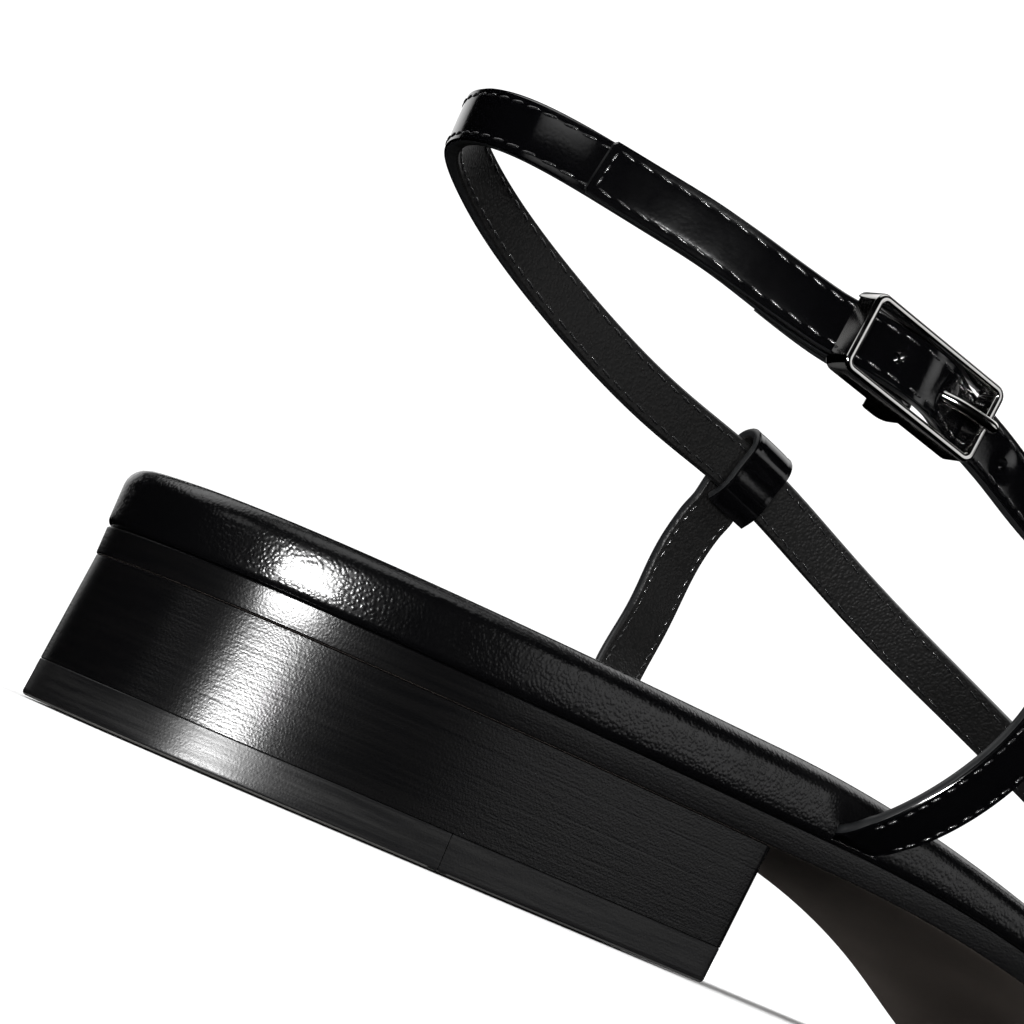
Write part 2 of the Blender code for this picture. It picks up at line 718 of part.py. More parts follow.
# Side tabs, with a pocket under the footbed for each
def tab(name, side, rows, loop_row, mat):
    """A tab out of the seam, up beside the foot, over the strap and down inside it."""
    edge = plan_half(TAB_X, -1 if side < 0 else 1)
    flare = (abs(rows[loop_row][1]) - edge + TAB_CLEAR) / TAB_ROWS[-1][1]
    table = [(x, side * (edge + (out * flare if out > 0 else out)), z) for x, out, z in TAB_ROWS]
    curve = spline(table)
    total = curve[0][-1]
    rise = np.array([along(curve, total * i / 40) for i in range(41)])
    loop = np.array(rows[loop_row][:3])
    run = unit(np.array(rows[loop_row - 1][:3]) - np.array(rows[loop_row + 1][:3]))
    lean = math.radians(rows[loop_row][3])
    level = unit(np.cross(run, UP)) * -side
    level = level if level[1] * side > 0 else -level
    upright = unit(UP - (UP @ run) * run)
    out_axis = level * math.cos(lean) + upright * math.sin(lean)
    up_axis = upright * math.cos(lean) - level * math.sin(lean)
    arc = []
    for a in range(15, 180, 15):
        c = math.radians(a)
        arc.append((LOOP_TOP + LOOP_OUT * math.sin(c), LOOP_OUT * math.cos(c)))
    bend, bend_wide = flat_run(LOOP_UP + tuple(arc) + LOOP_DOWN, loop, up_axis, out_axis, run)
    start_wide = np.array((1.0, 0.0, 0.0))
    wide = np.array([unit(start_wide * (1 - i / 40) + run * (i / 40)) for i in range(41)])
    points, wide = blend_runs([(rise[::5], wide[::5]), (bend[::2], bend_wide[::2])], 0.3)
    ob = ribbon(name, points, wide, TAB_WIDTH, TAB_THICK, 0.4, mat, 13.0, 6.0)
    pocket_low = footbed_floor(TAB_X) - 0.6
    pocket_high = TAB_ROWS[0][2] + TAB_THICK / 2 + GAP + 0.3
    deep = edge + TAB_ROWS[0][1] - GAP
    middle = np.array((TAB_X + 0.4, side * (deep + 6.0), (pocket_low + pocket_high) / 2))
    axes = (np.array((1.0, 0.0, 0.0)), np.array((0.0, 1.0, 0.0)), UP)
    pocket = box(name + "_pocket", middle, axes, (TAB_WIDTH + 2 * GAP + 0.8, 12.0, pocket_high - pocket_low))
    apply_boolean(footbed, pocket, "DIFFERENCE")
    return ob


tab("strap_tab_left", 1.0, LONG_ROWS, LEFT_LOOP_ROW, TAB_LEATHER)
tab("strap_tab_right", -1.0, SHORT_ROWS, RIGHT_LOOP_ROW, TAB_LEATHER)


# Buckle frame: a deep rectangular ring, shallower at its ends, with lugs and a centre bar
def buckle_box(name, s, n, w, sizes, mat=None):
    return box(name, in_buckle(s, n, w), AXES, sizes, mat)


deep = FRAME_TOP - FRAME_BOTTOM
middle_n = (FRAME_TOP + FRAME_BOTTOM) / 2
frame = buckle_box("buckle_frame", 0.0, middle_n, 0.0, (FRAME_LONG, deep, FRAME_WIDE), STEEL)
mod = frame.modifiers.new("eased", "BEVEL")
mod.width = FRAME_BEVEL * MM
mod.segments = 2
bpy.context.view_layer.update()
eased = bpy.data.meshes.new_from_object(frame.evaluated_get(bpy.context.evaluated_depsgraph_get()))
frame.modifiers.remove(mod)
frame.data = eased
opening = buckle_box("frame_opening", 0.0, middle_n, 0.0,
                     (FRAME_LONG - 2 * FRAME_BAR, deep + 2.0, FRAME_WIDE - 2 * FRAME_WALL))
apply_boolean(frame, opening, "DIFFERENCE")
relief_deep = END_BAR_BOTTOM - FRAME_BOTTOM + 1.0
for end in (-1.0, 1.0):
    relief = buckle_box("end_relief", end * (FRAME_LONG / 2), END_BAR_BOTTOM - relief_deep / 2, 0.0,
                        (2 * FRAME_BAR + 1.2, relief_deep, FRAME_WIDE - 2 * FRAME_WALL))
    apply_boolean(frame, relief, "DIFFERENCE")
for side in (-1.0, 1.0):
    lug_high = FRAME_BOTTOM + 0.8
    lug = buckle_box("lug", 0.0, (lug_high + LUG_BOTTOM) / 2, side * (FRAME_WIDE - FRAME_WALL) / 2,
                     (2 * LUG_HALF, lug_high - LUG_BOTTOM, FRAME_WALL - 0.06))
    apply_boolean(frame, lug, "UNION")
reach = FRAME_WIDE / 2 - FRAME_WALL / 2
bar = rod("centre_bar", in_buckle(0.0, 0.0, -reach), in_buckle(0.0, 0.0, reach), BAR_RADIUS, 14)
apply_boolean(frame, bar, "UNION")

# Prong: a round pin curled round the bar, then out through the strap to the front bar
curl = []
for a in range(8, -262, -18):
    c = math.radians(a)
    curl.append((PRONG_RING * math.cos(c), PRONG_RING * math.sin(c)))
pin_points, pin_wide = flat_run(tuple(curl) + PRONG_ROWS, BAR, BUCKLE_T, BUCKLE_N, BUCKLE_W)
pin_points = thin_out(pin_points, pin_wide, 20.0, 3.0)[0]
pin_curve = bpy.data.curves.new("buckle_prong", "CURVE")
pin_curve.dimensions = "3D"
pin_curve.bevel_depth = PRONG_RADIUS * MM
pin_curve.bevel_resolution = 3
pin_curve.use_fill_caps = True
pin_line = pin_curve.splines.new("POLY")
pin_line.points.add(len(pin_points) - 1)
for point, place in zip(pin_line.points, pin_points):
    point.co = (*(place * MM), 1.0)
wire = bpy.data.objects.new("prong_wire", pin_curve)
SHOE.objects.link(wire)
bpy.context.view_layer.update()
pin_mesh = bpy.data.meshes.new_from_object(wire.evaluated_get(bpy.context.evaluated_depsgraph_get()))
bpy.data.objects.remove(wire, do_unlink=True)
pin_work = bmesh.new()
pin_work.from_mesh(pin_mesh)
bmesh.ops.remove_doubles(pin_work, verts=pin_work.verts, dist=1e-6)
keep("buckle_prong", pin_work, PIN_STEEL)

# Stand the shoe on z = 0 about the middle of its box
low = Vector((1e9, 1e9, 1e9))
high = Vector((-1e9, -1e9, -1e9))
for ob in SHOE.objects:
    for v in ob.data.vertices:
        for c in range(3):
            low[c] = min(low[c], v.co[c])
            high[c] = max(high[c], v.co[c])
shift = Vector((-(low.x + high.x) / 2, -(low.y + high.y) / 2, -low.z))
for ob in SHOE.objects:
    for v in ob.data.vertices:
        v.co += shift
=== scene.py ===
import math

import bpy
import numpy as np
from mathutils import Matrix, Vector


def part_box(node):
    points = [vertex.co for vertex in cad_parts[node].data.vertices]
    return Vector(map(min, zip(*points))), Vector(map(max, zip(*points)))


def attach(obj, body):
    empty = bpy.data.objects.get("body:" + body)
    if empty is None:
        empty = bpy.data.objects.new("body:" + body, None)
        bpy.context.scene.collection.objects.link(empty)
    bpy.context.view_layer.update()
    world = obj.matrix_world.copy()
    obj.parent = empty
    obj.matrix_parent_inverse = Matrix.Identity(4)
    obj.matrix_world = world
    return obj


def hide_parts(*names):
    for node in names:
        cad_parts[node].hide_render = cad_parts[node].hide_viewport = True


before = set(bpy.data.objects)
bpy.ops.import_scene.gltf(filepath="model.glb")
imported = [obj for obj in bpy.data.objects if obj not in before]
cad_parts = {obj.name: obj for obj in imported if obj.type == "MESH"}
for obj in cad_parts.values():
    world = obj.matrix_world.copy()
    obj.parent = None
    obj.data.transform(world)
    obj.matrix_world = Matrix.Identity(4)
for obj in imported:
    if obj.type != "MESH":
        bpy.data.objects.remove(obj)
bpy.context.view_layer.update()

# Heel block. Lifts of sole leather are glued in a stack, cut to the heel's plan, waxed black and burnished on
# a brush, which leaves fine level lines. The breast, its front face, leans back and is a little hollow.
# Sizes are millimetres from the heel's back on the floor: x to the toe, y to the wearer's left, z up.
MM = 0.001
LENGTH = 245.0
GAP = 0.3
GLUE = 0.05
HEEL_HALF = 26.0
HEEL_ROUND = 50.0
HEEL_POWER = 2.5
HEEL_BACK = -0.7
HEEL_BACK_LEAN = 1.8
HEEL_HEIGHT = 16.8
TOP_LIFT = 4.2
BREAST_X = 78.2
BREAST_LEAN = 1.6
BREAST_HOLLOW = 1.9
BREAST_CORNER = 1.2
LIFT_LINES = (7.5, 10.7, 13.9)
LIFT_GROOVE = 0.004
HEEL_FRONT_ROWS = ((50.0, 26.0), (64.0, 25.5), (80.0, 24.5))    # x, half width
HEEL_BLACK = (0.0012, 0.0012, 0.0014, 1.0)
HEEL_STREAK = (0.0019, 0.0018, 0.0019, 1.0)
HEEL_SHINE = (0.22, 0.25)    # roughness between and on the streaks
SPECKLE_SIZE = 3300.0
BRUSH_DEEP = 0.024
SPECKLE_DEEP = 0.009

footbed_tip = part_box("footbed")[1]
heel_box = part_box("heel_stack")
ORIGIN = Vector((footbed_tip.x - LENGTH * MM, (heel_box[0].y + heel_box[1].y) / 2, 0.0))


def in_frame(points):
    """Millimetres from the heel's back to metres in the frame."""
    return np.asarray(points, float) * MM + np.array(ORIGIN)


def begin(add, location=(0, 0, 0), **sizes):
    """A new primitive, as the one selected object."""
    bpy.ops.object.select_all(action="DESELECT")
    add(location=location, **sizes)
    return bpy.context.object


def edit(kind, action):
    """Opens the active piece for editing by points, edges or faces, with all or none of them selected."""
    bpy.ops.object.mode_set(mode="EDIT")
    bpy.ops.mesh.select_mode(type=kind)
    bpy.ops.mesh.select_all(action=action)


def lay_rings(name, rings, bands=None):
    """A skin over closed rings: a grid is laid over them, sewn up its side and filled at its ends.
    bands gives a material slot for each strip between two neighbours in a ring."""
    around = len(rings[0])
    piece = begin(bpy.ops.mesh.primitive_grid_add, x_subdivisions=around, y_subdivisions=len(rings) - 1)
    piece.name = name
    piece.data.name = name
    laid = np.array([list(ring) + [ring[0]] for ring in rings], float)
    piece.data.vertices.foreach_set("co", in_frame(laid.reshape(-1, 3)).ravel())
    if bands is not None:
        piece.data.polygons.foreach_set("material_index", np.tile(bands, len(rings) - 1))
    edit("VERT", "SELECT")
    bpy.ops.mesh.remove_doubles(threshold=1e-6)
    edit("EDGE", "DESELECT")
    bpy.ops.mesh.select_non_manifold(extend=False)
    bpy.ops.mesh.fill_holes(sides=0)
    bpy.ops.mesh.select_all(action="SELECT")
    bpy.ops.mesh.normals_make_consistent(inside=False)
    bpy.ops.object.mode_set(mode="OBJECT")
    bpy.ops.object.shade_smooth_by_angle(angle=math.radians(35))
    return piece


def inward(ring, inset):
    """A closed plan outline moved square to itself."""
    points = np.array(ring, float)
    run = np.roll(points, -1, axis=0) - np.roll(points, 1, axis=0)
    run = run / np.linalg.norm(run, axis=1, keepdims=True)
    return points + np.stack([-run[:, 1], run[:, 0]], 1) * inset


def eased(corner, before, after):
    """Points of a small round in place of a corner of the breast."""
    corner, before, after = (np.array(p, float) for p in (corner, before, after))
    first = corner + (before - corner) / np.linalg.norm(before - corner) * BREAST_CORNER
    last = corner + (after - corner) / np.linalg.norm(after - corner) * BREAST_CORNER
    steps = np.linspace(0, 1, 7)[:, None]
    return list((1 - steps) ** 2 * first + 2 * steps * (1 - steps) * corner + steps ** 2 * last)


def heel_half(x):
    return np.interp(x, *zip(*HEEL_FRONT_ROWS))


def heel_ring(z, back=None, front=None):
    """The heel's plan at one height, between two places along it; none means its own back or breast."""
    hollow = BREAST_HOLLOW if front is None else 0.0
    front = BREAST_X - BREAST_LEAN * (1 - z / HEEL_HEIGHT) if front is None else front
    tail = HEEL_BACK + HEEL_BACK_LEAN * z / HEEL_HEIGHT
    turn = np.linspace(0, math.pi / 2, 34)
    side = [(tail + (HEEL_ROUND - tail) * (1 - math.cos(a) ** (2 / HEEL_POWER)),
             -HEEL_HALF * math.sin(a) ** (2 / HEEL_POWER)) for a in turn]
    side += [(x, -heel_half(x)) for x in np.linspace(HEEL_ROUND, BREAST_X - 4, 12)[1:]]
    xs, ys = np.array(side).T
    near = (front, -heel_half(front))
    if back is not None:
        side = [(back, np.interp(back, xs, ys))] + [p for p in side if p[0] > back + 1]
    if front < BREAST_X - 10:
        side = [p for p in side if p[0] < front - 1]
        near = (front, np.interp(front, xs, ys))
    far = (near[0], -near[1])
    across = np.linspace(near[1], far[1], 15)[1:-1]
    breast = [(front - hollow * (1 - (y / near[1]) ** 2), y) for y in across]
    other = [(x, -y) for x, y in side if y < -1e-6][::-1]
    if hollow:
        return side + eased(near, side[-1], breast[0]) + breast + eased(far, breast[-1], other[0]) + other
    return side + [near] + breast + [far] + other


def at_height(ring, z):
    return [(p[0], p[1], z) for p in ring]


def fit(piece, node, slot, *finishes):
    """Gives a piece its finishes and puts it in its solid's place on the shoe."""
    for finish in finishes:
        piece.data.materials.append(finish)
    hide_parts(node)
    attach(piece, "root")


def add_node(tree, kind, values=None, **settings):
    """A shader node with some settings and inputs given; an input may be another node's output."""
    made = tree.nodes.new("ShaderNode" + kind)
    for name, value in settings.items():
        setattr(made, name, value)
    for name, value in (values or {}).items():
        if isinstance(value, bpy.types.NodeSocket):
            tree.links.new(value, made.inputs[name])
        else:
            made.inputs[name].default_value = value
    return made


def new_effect(name, inputs, outputs):
    """An empty shader group with named sockets: (group, what it is given, what it results in)."""
    group = bpy.data.node_groups.new(name, "ShaderNodeTree")
    for socket, kind in inputs.items():
        group.interface.new_socket(socket, in_out="INPUT", socket_type="NodeSocket" + kind)
    for socket in outputs:
        group.interface.new_socket(socket, in_out="OUTPUT", socket_type="NodeSocketFloat")
    return group, group.nodes.new("NodeGroupInput").outputs, group.nodes.new("NodeGroupOutput").inputs


def new_finish(name, colour, roughness, coat=None, constants=None):
    """A material with a Principled shader at constant values, and its Object coordinates.
    coat is a clear coat's weight and roughness."""
    finish = bpy.data.materials.new(name)
    finish.use_nodes = True
    tree = finish.node_tree
    shader = tree.nodes["Principled BSDF"]
    values = {"Base Color": colour, "Roughness": roughness, **(constants or {})}
    if coat:
        values["Coat Weight"], values["Coat Roughness"] = coat
    for socket, value in values.items():
        shader.inputs[socket].default_value = value
    return finish, tree, shader, tree.nodes.new("ShaderNodeTexCoord").outputs["Object"]


def use_effect(tree, group, place, **values):
    """What a shader group puts out when it is placed in a material, on its coordinates."""
    return add_node(tree, "Group", {"Vector": place, **values}, node_tree=group).outputs


def vary_roughness(tree, shader, amount, low, high):
    """A roughness that runs between two levels as an amount goes from 0 to 1."""
    spread = add_node(tree, "MapRange", {"Value": amount, "To Min": low, "To Max": high})
    tree.links.new(spread.outputs["Result"], shader.inputs["Roughness"])


def vary_colour(tree, shader, amount, low, high):
    """A base colour that runs between two colours as an amount goes from 0 to 1."""
    mix = add_node(tree, "Mix", {"Factor": amount, 6: low, 7: high}, data_type="RGBA")
    tree.links.new(mix.outputs[2], shader.inputs["Base Color"])


def emboss(tree, shader, height, depth_mm, strength, under=None):
    """A bump of a given depth, over another one where it is given."""
    values = {"Strength": strength, "Distance": depth_mm * MM, "Height": height}
    if under is not None:
        values["Normal"] = under
    bump = add_node(tree, "Bump", values).outputs["Normal"]
    tree.links.new(bump, shader.inputs["Normal"])
    return bump


# Level brush lines: noise drawn out along the edge, at two finenesses
brushed, given, result = new_effect("level_brush_lines", {"Vector": "Vector"}, ("Height", "Streaks"))
fine_map = add_node(brushed, "Mapping", {"Vector": given["Vector"], "Scale": (170.0, 170.0, 3600.0)})
fine = add_node(brushed, "TexNoise", {
    "Vector": fine_map.outputs["Vector"], "Scale": 1.0, "Detail": 3.0, "Roughness": 0.6}).outputs["Fac"]
broad_map = add_node(brushed, "Mapping", {
    "Vector": given["Vector"], "Scale": (60.0, 60.0, 1700.0), "Location": (3.1, 1.7, 0.4)})
broad = add_node(brushed, "TexNoise", {
    "Vector": broad_map.outputs["Vector"], "Scale": 1.0, "Detail": 4.0, "Roughness": 0.7}).outputs["Fac"]
both = add_node(brushed, "Math", {0: broad, 1: 0.6, 2: fine}, operation="MULTIPLY_ADD")
streaks = add_node(brushed, "MapRange", {"Value": broad, "From Min": 0.4, "From Max": 0.66})
brushed.links.new(both.outputs["Value"], result["Height"])
brushed.links.new(streaks.outputs["Result"], result["Streaks"])

# Pebble: small domed cells, unevenly drawn, and a mask on the cells' borders for painted shade in the creases
SIZED = {"Vector": "Vector", "Size": "Float"}
pebble, given, result = new_effect("pebble_grain", SIZED, ("Height", "CreaseShade"))
stir = add_node(pebble, "TexNoise", {"Vector": given["Vector"], "Scale": 700.0, "Detail": 2.0})
shift = add_node(pebble, "VectorMath", {
    0: stir.outputs["Color"], 1: (0.0006, 0.0006, 0.0006), 2: given["Vector"]}, operation="MULTIPLY_ADD")
cells = add_node(pebble, "TexVoronoi", {
    "Vector": shift.outputs["Vector"], "Scale": given["Size"], "Smoothness": 0.4, "Randomness": 1.0},
    feature="SMOOTH_F1").outputs["Distance"]
dome = add_node(pebble, "MapRange", {
    "Value": cells, "From Min": 0.1, "From Max": 0.75, "To Min": 1.0, "To Max": 0.0},
    interpolation_type="SMOOTHSTEP")
crease_shade = add_node(pebble, "MapRange", {"Value": cells, "From Min": 0.45, "From Max": 0.75})
pebble.links.new(dome.outputs["Result"], result["Height"])
pebble.links.new(crease_shade.outputs["Result"], result["CreaseShade"])

# Handling: soft uneven patches where wax and touch dull or brighten a surface
handled, given, result = new_effect("handling", SIZED, ("Amount",))
patches = add_node(handled, "TexNoise", {
    "Vector": given["Vector"], "Scale": given["Size"], "Detail": 5.0, "Roughness": 0.6, "Distortion": 0.4})
contrast = add_node(handled, "MapRange", {
    "Value": patches.outputs["Fac"], "From Min": 0.32, "From Max": 0.68})
handled.links.new(contrast.outputs["Result"], result["Amount"])


def brushed_finish(name, dark, streak, shine, coat=None):
    """A waxed leather edge: level brush lines over a fine speckle, streaked in colour and shine."""
    finish, tree, shader, place = new_finish(name, dark, shine[0], coat)
    lines = use_effect(tree, brushed, place)
    speckle = use_effect(tree, pebble, place, Size=SPECKLE_SIZE)
    vary_colour(tree, shader, lines["Streaks"], dark, streak)
    vary_roughness(tree, shader, lines["Streaks"], *shine)
    brushing = emboss(tree, shader, lines["Height"], BRUSH_DEEP, 0.5)
    emboss(tree, shader, speckle["Height"], SPECKLE_DEEP, 0.6, brushing)
    return finish


burnished = brushed_finish("burnished_heel_edge", HEEL_BLACK, HEEL_STREAK, HEEL_SHINE)


def heel_stack_rings():
    """Rings up the block, with a shallow groove at each glue line."""
    low = TOP_LIFT + GAP / 2
    high = HEEL_HEIGHT + GAP - GLUE
    rows = [(low, 0.12), (low + 0.1, 0.0), (low + 0.4, 0.0)]
    for z in LIFT_LINES:
        rows += [(z - 0.3, 0.0), (z - 0.09, 0.0), (z, LIFT_GROOVE), (z + 0.09, 0.0), (z + 0.3, 0.0)]
    rows += [(high - 0.4, 0.0), (high - 0.1, 0.0), (high, 0.1)]
    return [at_height(inward(heel_ring(z), inset), z) for z, inset in rows]


heel_stack = lay_rings("heel_stack_burnished", heel_stack_rings())
fit(heel_stack, "heel_stack", "heel_leather", burnished)

# Top lift, the layer that meets the ground: moulded rubber at the back, where a heel wears, butted to leather
# in front. Both are glued on, trimmed flush, and their sides waxed greyer than the block.
RUBBER_X = 35.3
BUTT = 0.06
LIFT_ROUND = 0.45
LIFT_SIDE = (0.0035, 0.0035, 0.0038, 1.0)
LIFT_STREAK = (0.0075, 0.0074, 0.0074, 1.0)
LIFT_SHINE = (0.29, 0.38)
RUBBER_GREY = (0.036, 0.035, 0.034, 1.0)
RUBBER_DUST = (0.052, 0.050, 0.048, 1.0)
LIFT_FACE = (0.040, 0.039, 0.039, 1.0)

lift_side = brushed_finish("waxed_lift_edge", LIFT_SIDE, LIFT_STREAK, LIFT_SHINE, (0.15, 0.35))

rubber, tree, shader, place = new_finish("grained_rubber", RUBBER_GREY, 0.72)
grain = use_effect(tree, pebble, place, Size=4200.0)
dust = use_effect(tree, handled, place, Size=90.0)
vary_colour(tree, shader, dust["Amount"], RUBBER_GREY, RUBBER_DUST)
emboss(tree, shader, grain["Height"], 0.05, 0.7)


def grained_finish(name, colour, grain, touch, coat=None, worn=None):
    """Leather with a pebble of a size, depth and strength. Touch, of a size, moves its roughness between two
    levels, and its colour to a worn one where that is given."""
    finish, tree, shader, place = new_finish(name, colour, touch[1], coat)
    cells = use_effect(tree, pebble, place, Size=grain[0])
    patch = use_effect(tree, handled, place, Size=touch[0])["Amount"]
    vary_roughness(tree, shader, patch, *touch[1:])
    if worn:
        vary_colour(tree, shader, patch, colour, worn)
    emboss(tree, shader, cells["Height"], *grain[1:])
    return finish


lift_leather = grained_finish("waxed_lift_face", LIFT_FACE, (3000.0, 0.01, 0.4), (35.0, 0.38, 0.5))


def lift_rings(back, front):
    """Rings of a top lift with a rounded lower edge."""
    turns = np.radians((0, 30, 60, 90))
    rows = [(LIFT_ROUND * (1 - math.sin(a)), LIFT_ROUND * (1 - math.cos(a))) for a in turns]
    high = TOP_LIFT + GAP / 2
    rows += [(0.0, LIFT_ROUND + 0.3), (0.0, high - 0.4), (0.0, high - 0.1), (0.08, high)]
    return [at_height(inward(heel_ring(z, back, front), inset), z) for inset, z in rows]


def face_below(piece, limit):
    """Gives the faces that look at the floor the second finish."""
    for polygon in piece.data.polygons:
        polygon.material_index = 1 if polygon.normal.z < limit else 0


for name, back, front, face, slot in (
        ("heel_top_lift_rubber", None, RUBBER_X - BUTT, rubber, "heel_rubber"),
        ("heel_top_lift_leather", RUBBER_X + BUTT, None, lift_leather, "top_lift_leather")):
    lift = lay_rings(name + "_trimmed", lift_rings(back, front))
    fit(lift, name, slot, lift_side, face)
    face_below(lift, -0.6)

# Outsole. One piece of dyed sole leather runs from the heel's back over the block, down the arch and under
# the toes. Its edge is burnished like the heel, and its underside is waxed to a satin and lifted in colour by
# a painted sheen.
OUTSOLE_THICK = 3.2
FOOTBED_BACK = 1.0
OUTSOLE_IN = 0.6
OUTSOLE_ROUND = 0.2
OUTSOLE_CHAMFER = 0.15
TREAD_START = 180.0
TREAD_END = 204.0
SHANK_POWER = 1.6
TOE_SPRING = 5.0
TOE_Y = 6.5
TOE_ROWS = {-1: (190.0, 2.05), 1: (200.0, 2.35)}    # side: widest point, fullness of the toe's round
PLAN = (     # x, half width on the outer side, half width on the inner side
    (50.0, 27.0, 27.0),
    (64.0, 26.5, 26.2),
    (78.0, 25.6, 24.6),
    (96.0, 25.2, 22.6),
    (116.0, 26.6, 21.8),
    (136.0, 30.2, 24.2),
    (156.0, 34.8, 29.8),
    (174.0, 38.0, 35.2),
    (190.0, 39.2, 38.2),
    (200.0, 38.4, 39.0),
)
SPINE = (26.0, 214.0)
# The sole face's colours are lighter than the dyed leather's own brown: a painted sheen that stands in for
# the floor's reflection.
SOLE_DYE_AND_SHEEN = (0.046, 0.039, 0.035, 1.0)
SOLE_WAX_AND_SHEEN = (0.072, 0.060, 0.053, 1.0)
SEAT = HEEL_HEIGHT + GAP


def underside(x):
    """The sole's lower face: level seat, falling arch, flat tread, toe spring."""
    u = np.clip((np.asarray(x, float) - BREAST_X) / (TREAD_START - BREAST_X), 0, 1) ** SHANK_POWER
    spring = np.clip((x - TREAD_END) / (LENGTH - TREAD_END), 0, None)
    return SEAT * (1 - u * u * (3 - 2 * u)) + TOE_SPRING * spring ** 2


def plan_side(side):
    """One edge of the footbed from heel to toe as (x, half width) rows: round, waist, round."""
    turn = np.linspace(0, math.pi / 2, 40)
    fullness = 2 / HEEL_POWER
    column = 1 if side < 0 else 2
    widest, power = TOE_ROWS[side]
    xs = np.array([row[0] for row in PLAN])
    halves = np.array([row[column] for row in PLAN])
    rows = [(FOOTBED_BACK + (HEEL_ROUND - FOOTBED_BACK) * (1 - math.cos(a) ** fullness),
             halves[0] * math.sin(a) ** fullness) for a in turn]
    slopes = np.gradient(halves, xs)
    slopes[0] = 0.0
    slopes[xs >= widest] = 0.0
    for x in np.linspace(HEEL_ROUND, widest, 70)[1:]:
        i = min(int(np.searchsorted(xs, x, side="left")) - 1, len(xs) - 2)
        h = xs[i + 1] - xs[i]
        t = (x - xs[i]) / h
        rows.append((x, (2 * t ** 3 - 3 * t ** 2 + 1) * halves[i] + (t ** 3 - 2 * t ** 2 + t) * h * slopes[i]
                     + (3 * t ** 2 - 2 * t ** 3) * halves[i + 1] + (t ** 3 - t ** 2) * h * slopes[i + 1]))
    fullest = rows[-1][1]
    tip = side * TOE_Y
    for a in turn[1:]:
        rows.append((widest + (LENGTH - widest) * math.sin(a) ** (2 / power),
                     tip + (fullest - tip) * max(math.cos(a), 0.0) ** (2 / power)))
    return rows


OUTER_EDGE = plan_side(-1)
INNER_EDGE = plan_side(1)
SOLE_PLAN = [(x, -half) for x, half in OUTER_EDGE] + [(x, half) for x, half in INNER_EDGE[-2:0:-1]]


def to_spine(ring, share):
    """A ring drawn in towards the sole's middle line, where points of both sides meet in pairs."""
    ring = np.array(ring, float)
    side = np.arange(len(ring))
    pair = np.minimum(side, len(ring) - side)
    x = np.clip((ring[pair, 0] + ring[-pair, 0]) / 2, *SPINE)
    outer = np.interp(x, *np.array(OUTER_EDGE).T)
    inner = np.interp(x, *np.array(INNER_EDGE).T)
    middle = np.stack([x, (inner - outer) / 2], 1)
    return ring + (middle - ring) * share


def sole_rings(rows, height):
    """Rings from (inset, share of the way to the spine, rise) rows over a height along the shoe."""
    rings = []
    for inset, share, rise in rows:
        ring = to_spine(inward(SOLE_PLAN, inset), share)
        rings.append(np.column_stack([ring, height(ring[:, 0]) + rise]))
    return rings


def rounded_edge(radius, base, below):
    """(inset, share, rise) rows of a quarter round under or over an edge."""
    rows = []
    for a in np.radians(np.linspace(0, 90, 7)):
        rise = radius * (1 - math.cos(a)) if below else radius * math.sin(a) - radius
        rows.append((base + radius * (1 - (math.sin(a) if below else math.cos(a))), 0.0, rise))
    return rows


# Painted sheen: the satin sole face is coloured lighter to stand in for the floor's reflection.
sole_face = grained_finish("satin_sole_face", SOLE_DYE_AND_SHEEN, (2600.0, 0.008, 0.5), (28.0, 0.27, 0.38),
                           (0.25, 0.3), SOLE_WAX_AND_SHEEN)

below = [(OUTSOLE_IN + OUTSOLE_ROUND, share, 0.0) for share in (1.0, 0.85, 0.7, 0.55, 0.4, 0.25, 0.1)]
edge = rounded_edge(OUTSOLE_ROUND, OUTSOLE_IN, True)
above = [(OUTSOLE_IN, 0.0, OUTSOLE_THICK - OUTSOLE_CHAMFER)]
above += [(OUTSOLE_IN + OUTSOLE_CHAMFER, share, OUTSOLE_THICK) for share in (0.0, 0.5, 1.0)]
rings = sole_rings(below + edge + above, underside)
stretch = (HEEL_ROUND - HEEL_BACK - HEEL_BACK_LEAN) / (HEEL_ROUND - FOOTBED_BACK - OUTSOLE_IN)
for ring in rings:
    over = ring[:, 0] < HEEL_ROUND
    ring[over, 0] = HEEL_ROUND - (HEEL_ROUND - ring[over, 0]) * stretch
outsole = lay_rings("outsole_leather", rings)
fit(outsole, "outsole", "sole_leather", burnished, sole_face)
face_below(outsole, -0.9)

# Footbed. A board the shape of the last's sole is wrapped in glossy black leather, drawn over its rounded
# top edge and lasted under. It is glued on the outsole, with a hole for the toe post and a slit for each tab.
FOOTBED_HEEL = 7.0
FOOTBED_FORE = 4.3
FOOTBED_THIN_X = (74.0, 134.0)
FOOTBED_ROUND = 2.4
FOOTBED_UNDER = 0.9
FOOTBED_DISH = 0.9
POST_X = 196.0
POST_Y = 9.0
POST_RADIUS = 2.9
POST_CLEAR = 0.15
POST_HOLE = 20.0
POST_HOLE_UP = 6.5
TAB_X = 88.9
TAB_Z = 21.6
TAB_WIDTH = 7.2
TAB_THICK = 1.4
SLIT_LONG = 12.0
SLIT_OUT = 1.2
SLIT_UP = 0.1
SLIT_SPARE = (0.3, 0.7)    # beside and over the tab
WELD = 5e-6
WRAP_BLACK = (0.0010, 0.0010, 0.0012, 1.0)


def footbed_floor(x):
    return underside(x) + OUTSOLE_THICK + GLUE


def footbed_thick(x):
    u = np.clip((np.asarray(x, float) - FOOTBED_THIN_X[0]) / (FOOTBED_THIN_X[1] - FOOTBED_THIN_X[0]), 0, 1)
    return GAP - GLUE + FOOTBED_HEEL + (FOOTBED_FORE - FOOTBED_HEEL) * u * u * (3 - 2 * u)


def footbed_top(x):
    return footbed_floor(x) + footbed_thick(x)


def apply_modifier(piece, kind, **settings):
    """Adds a modifier to the active piece, sets it and applies it."""
    bpy.ops.object.modifier_add(type=kind)
    for name, value in settings.items():
        setattr(piece.modifiers[-1], name, value)
    bpy.ops.object.modifier_apply(modifier=piece.modifiers[-1].name)


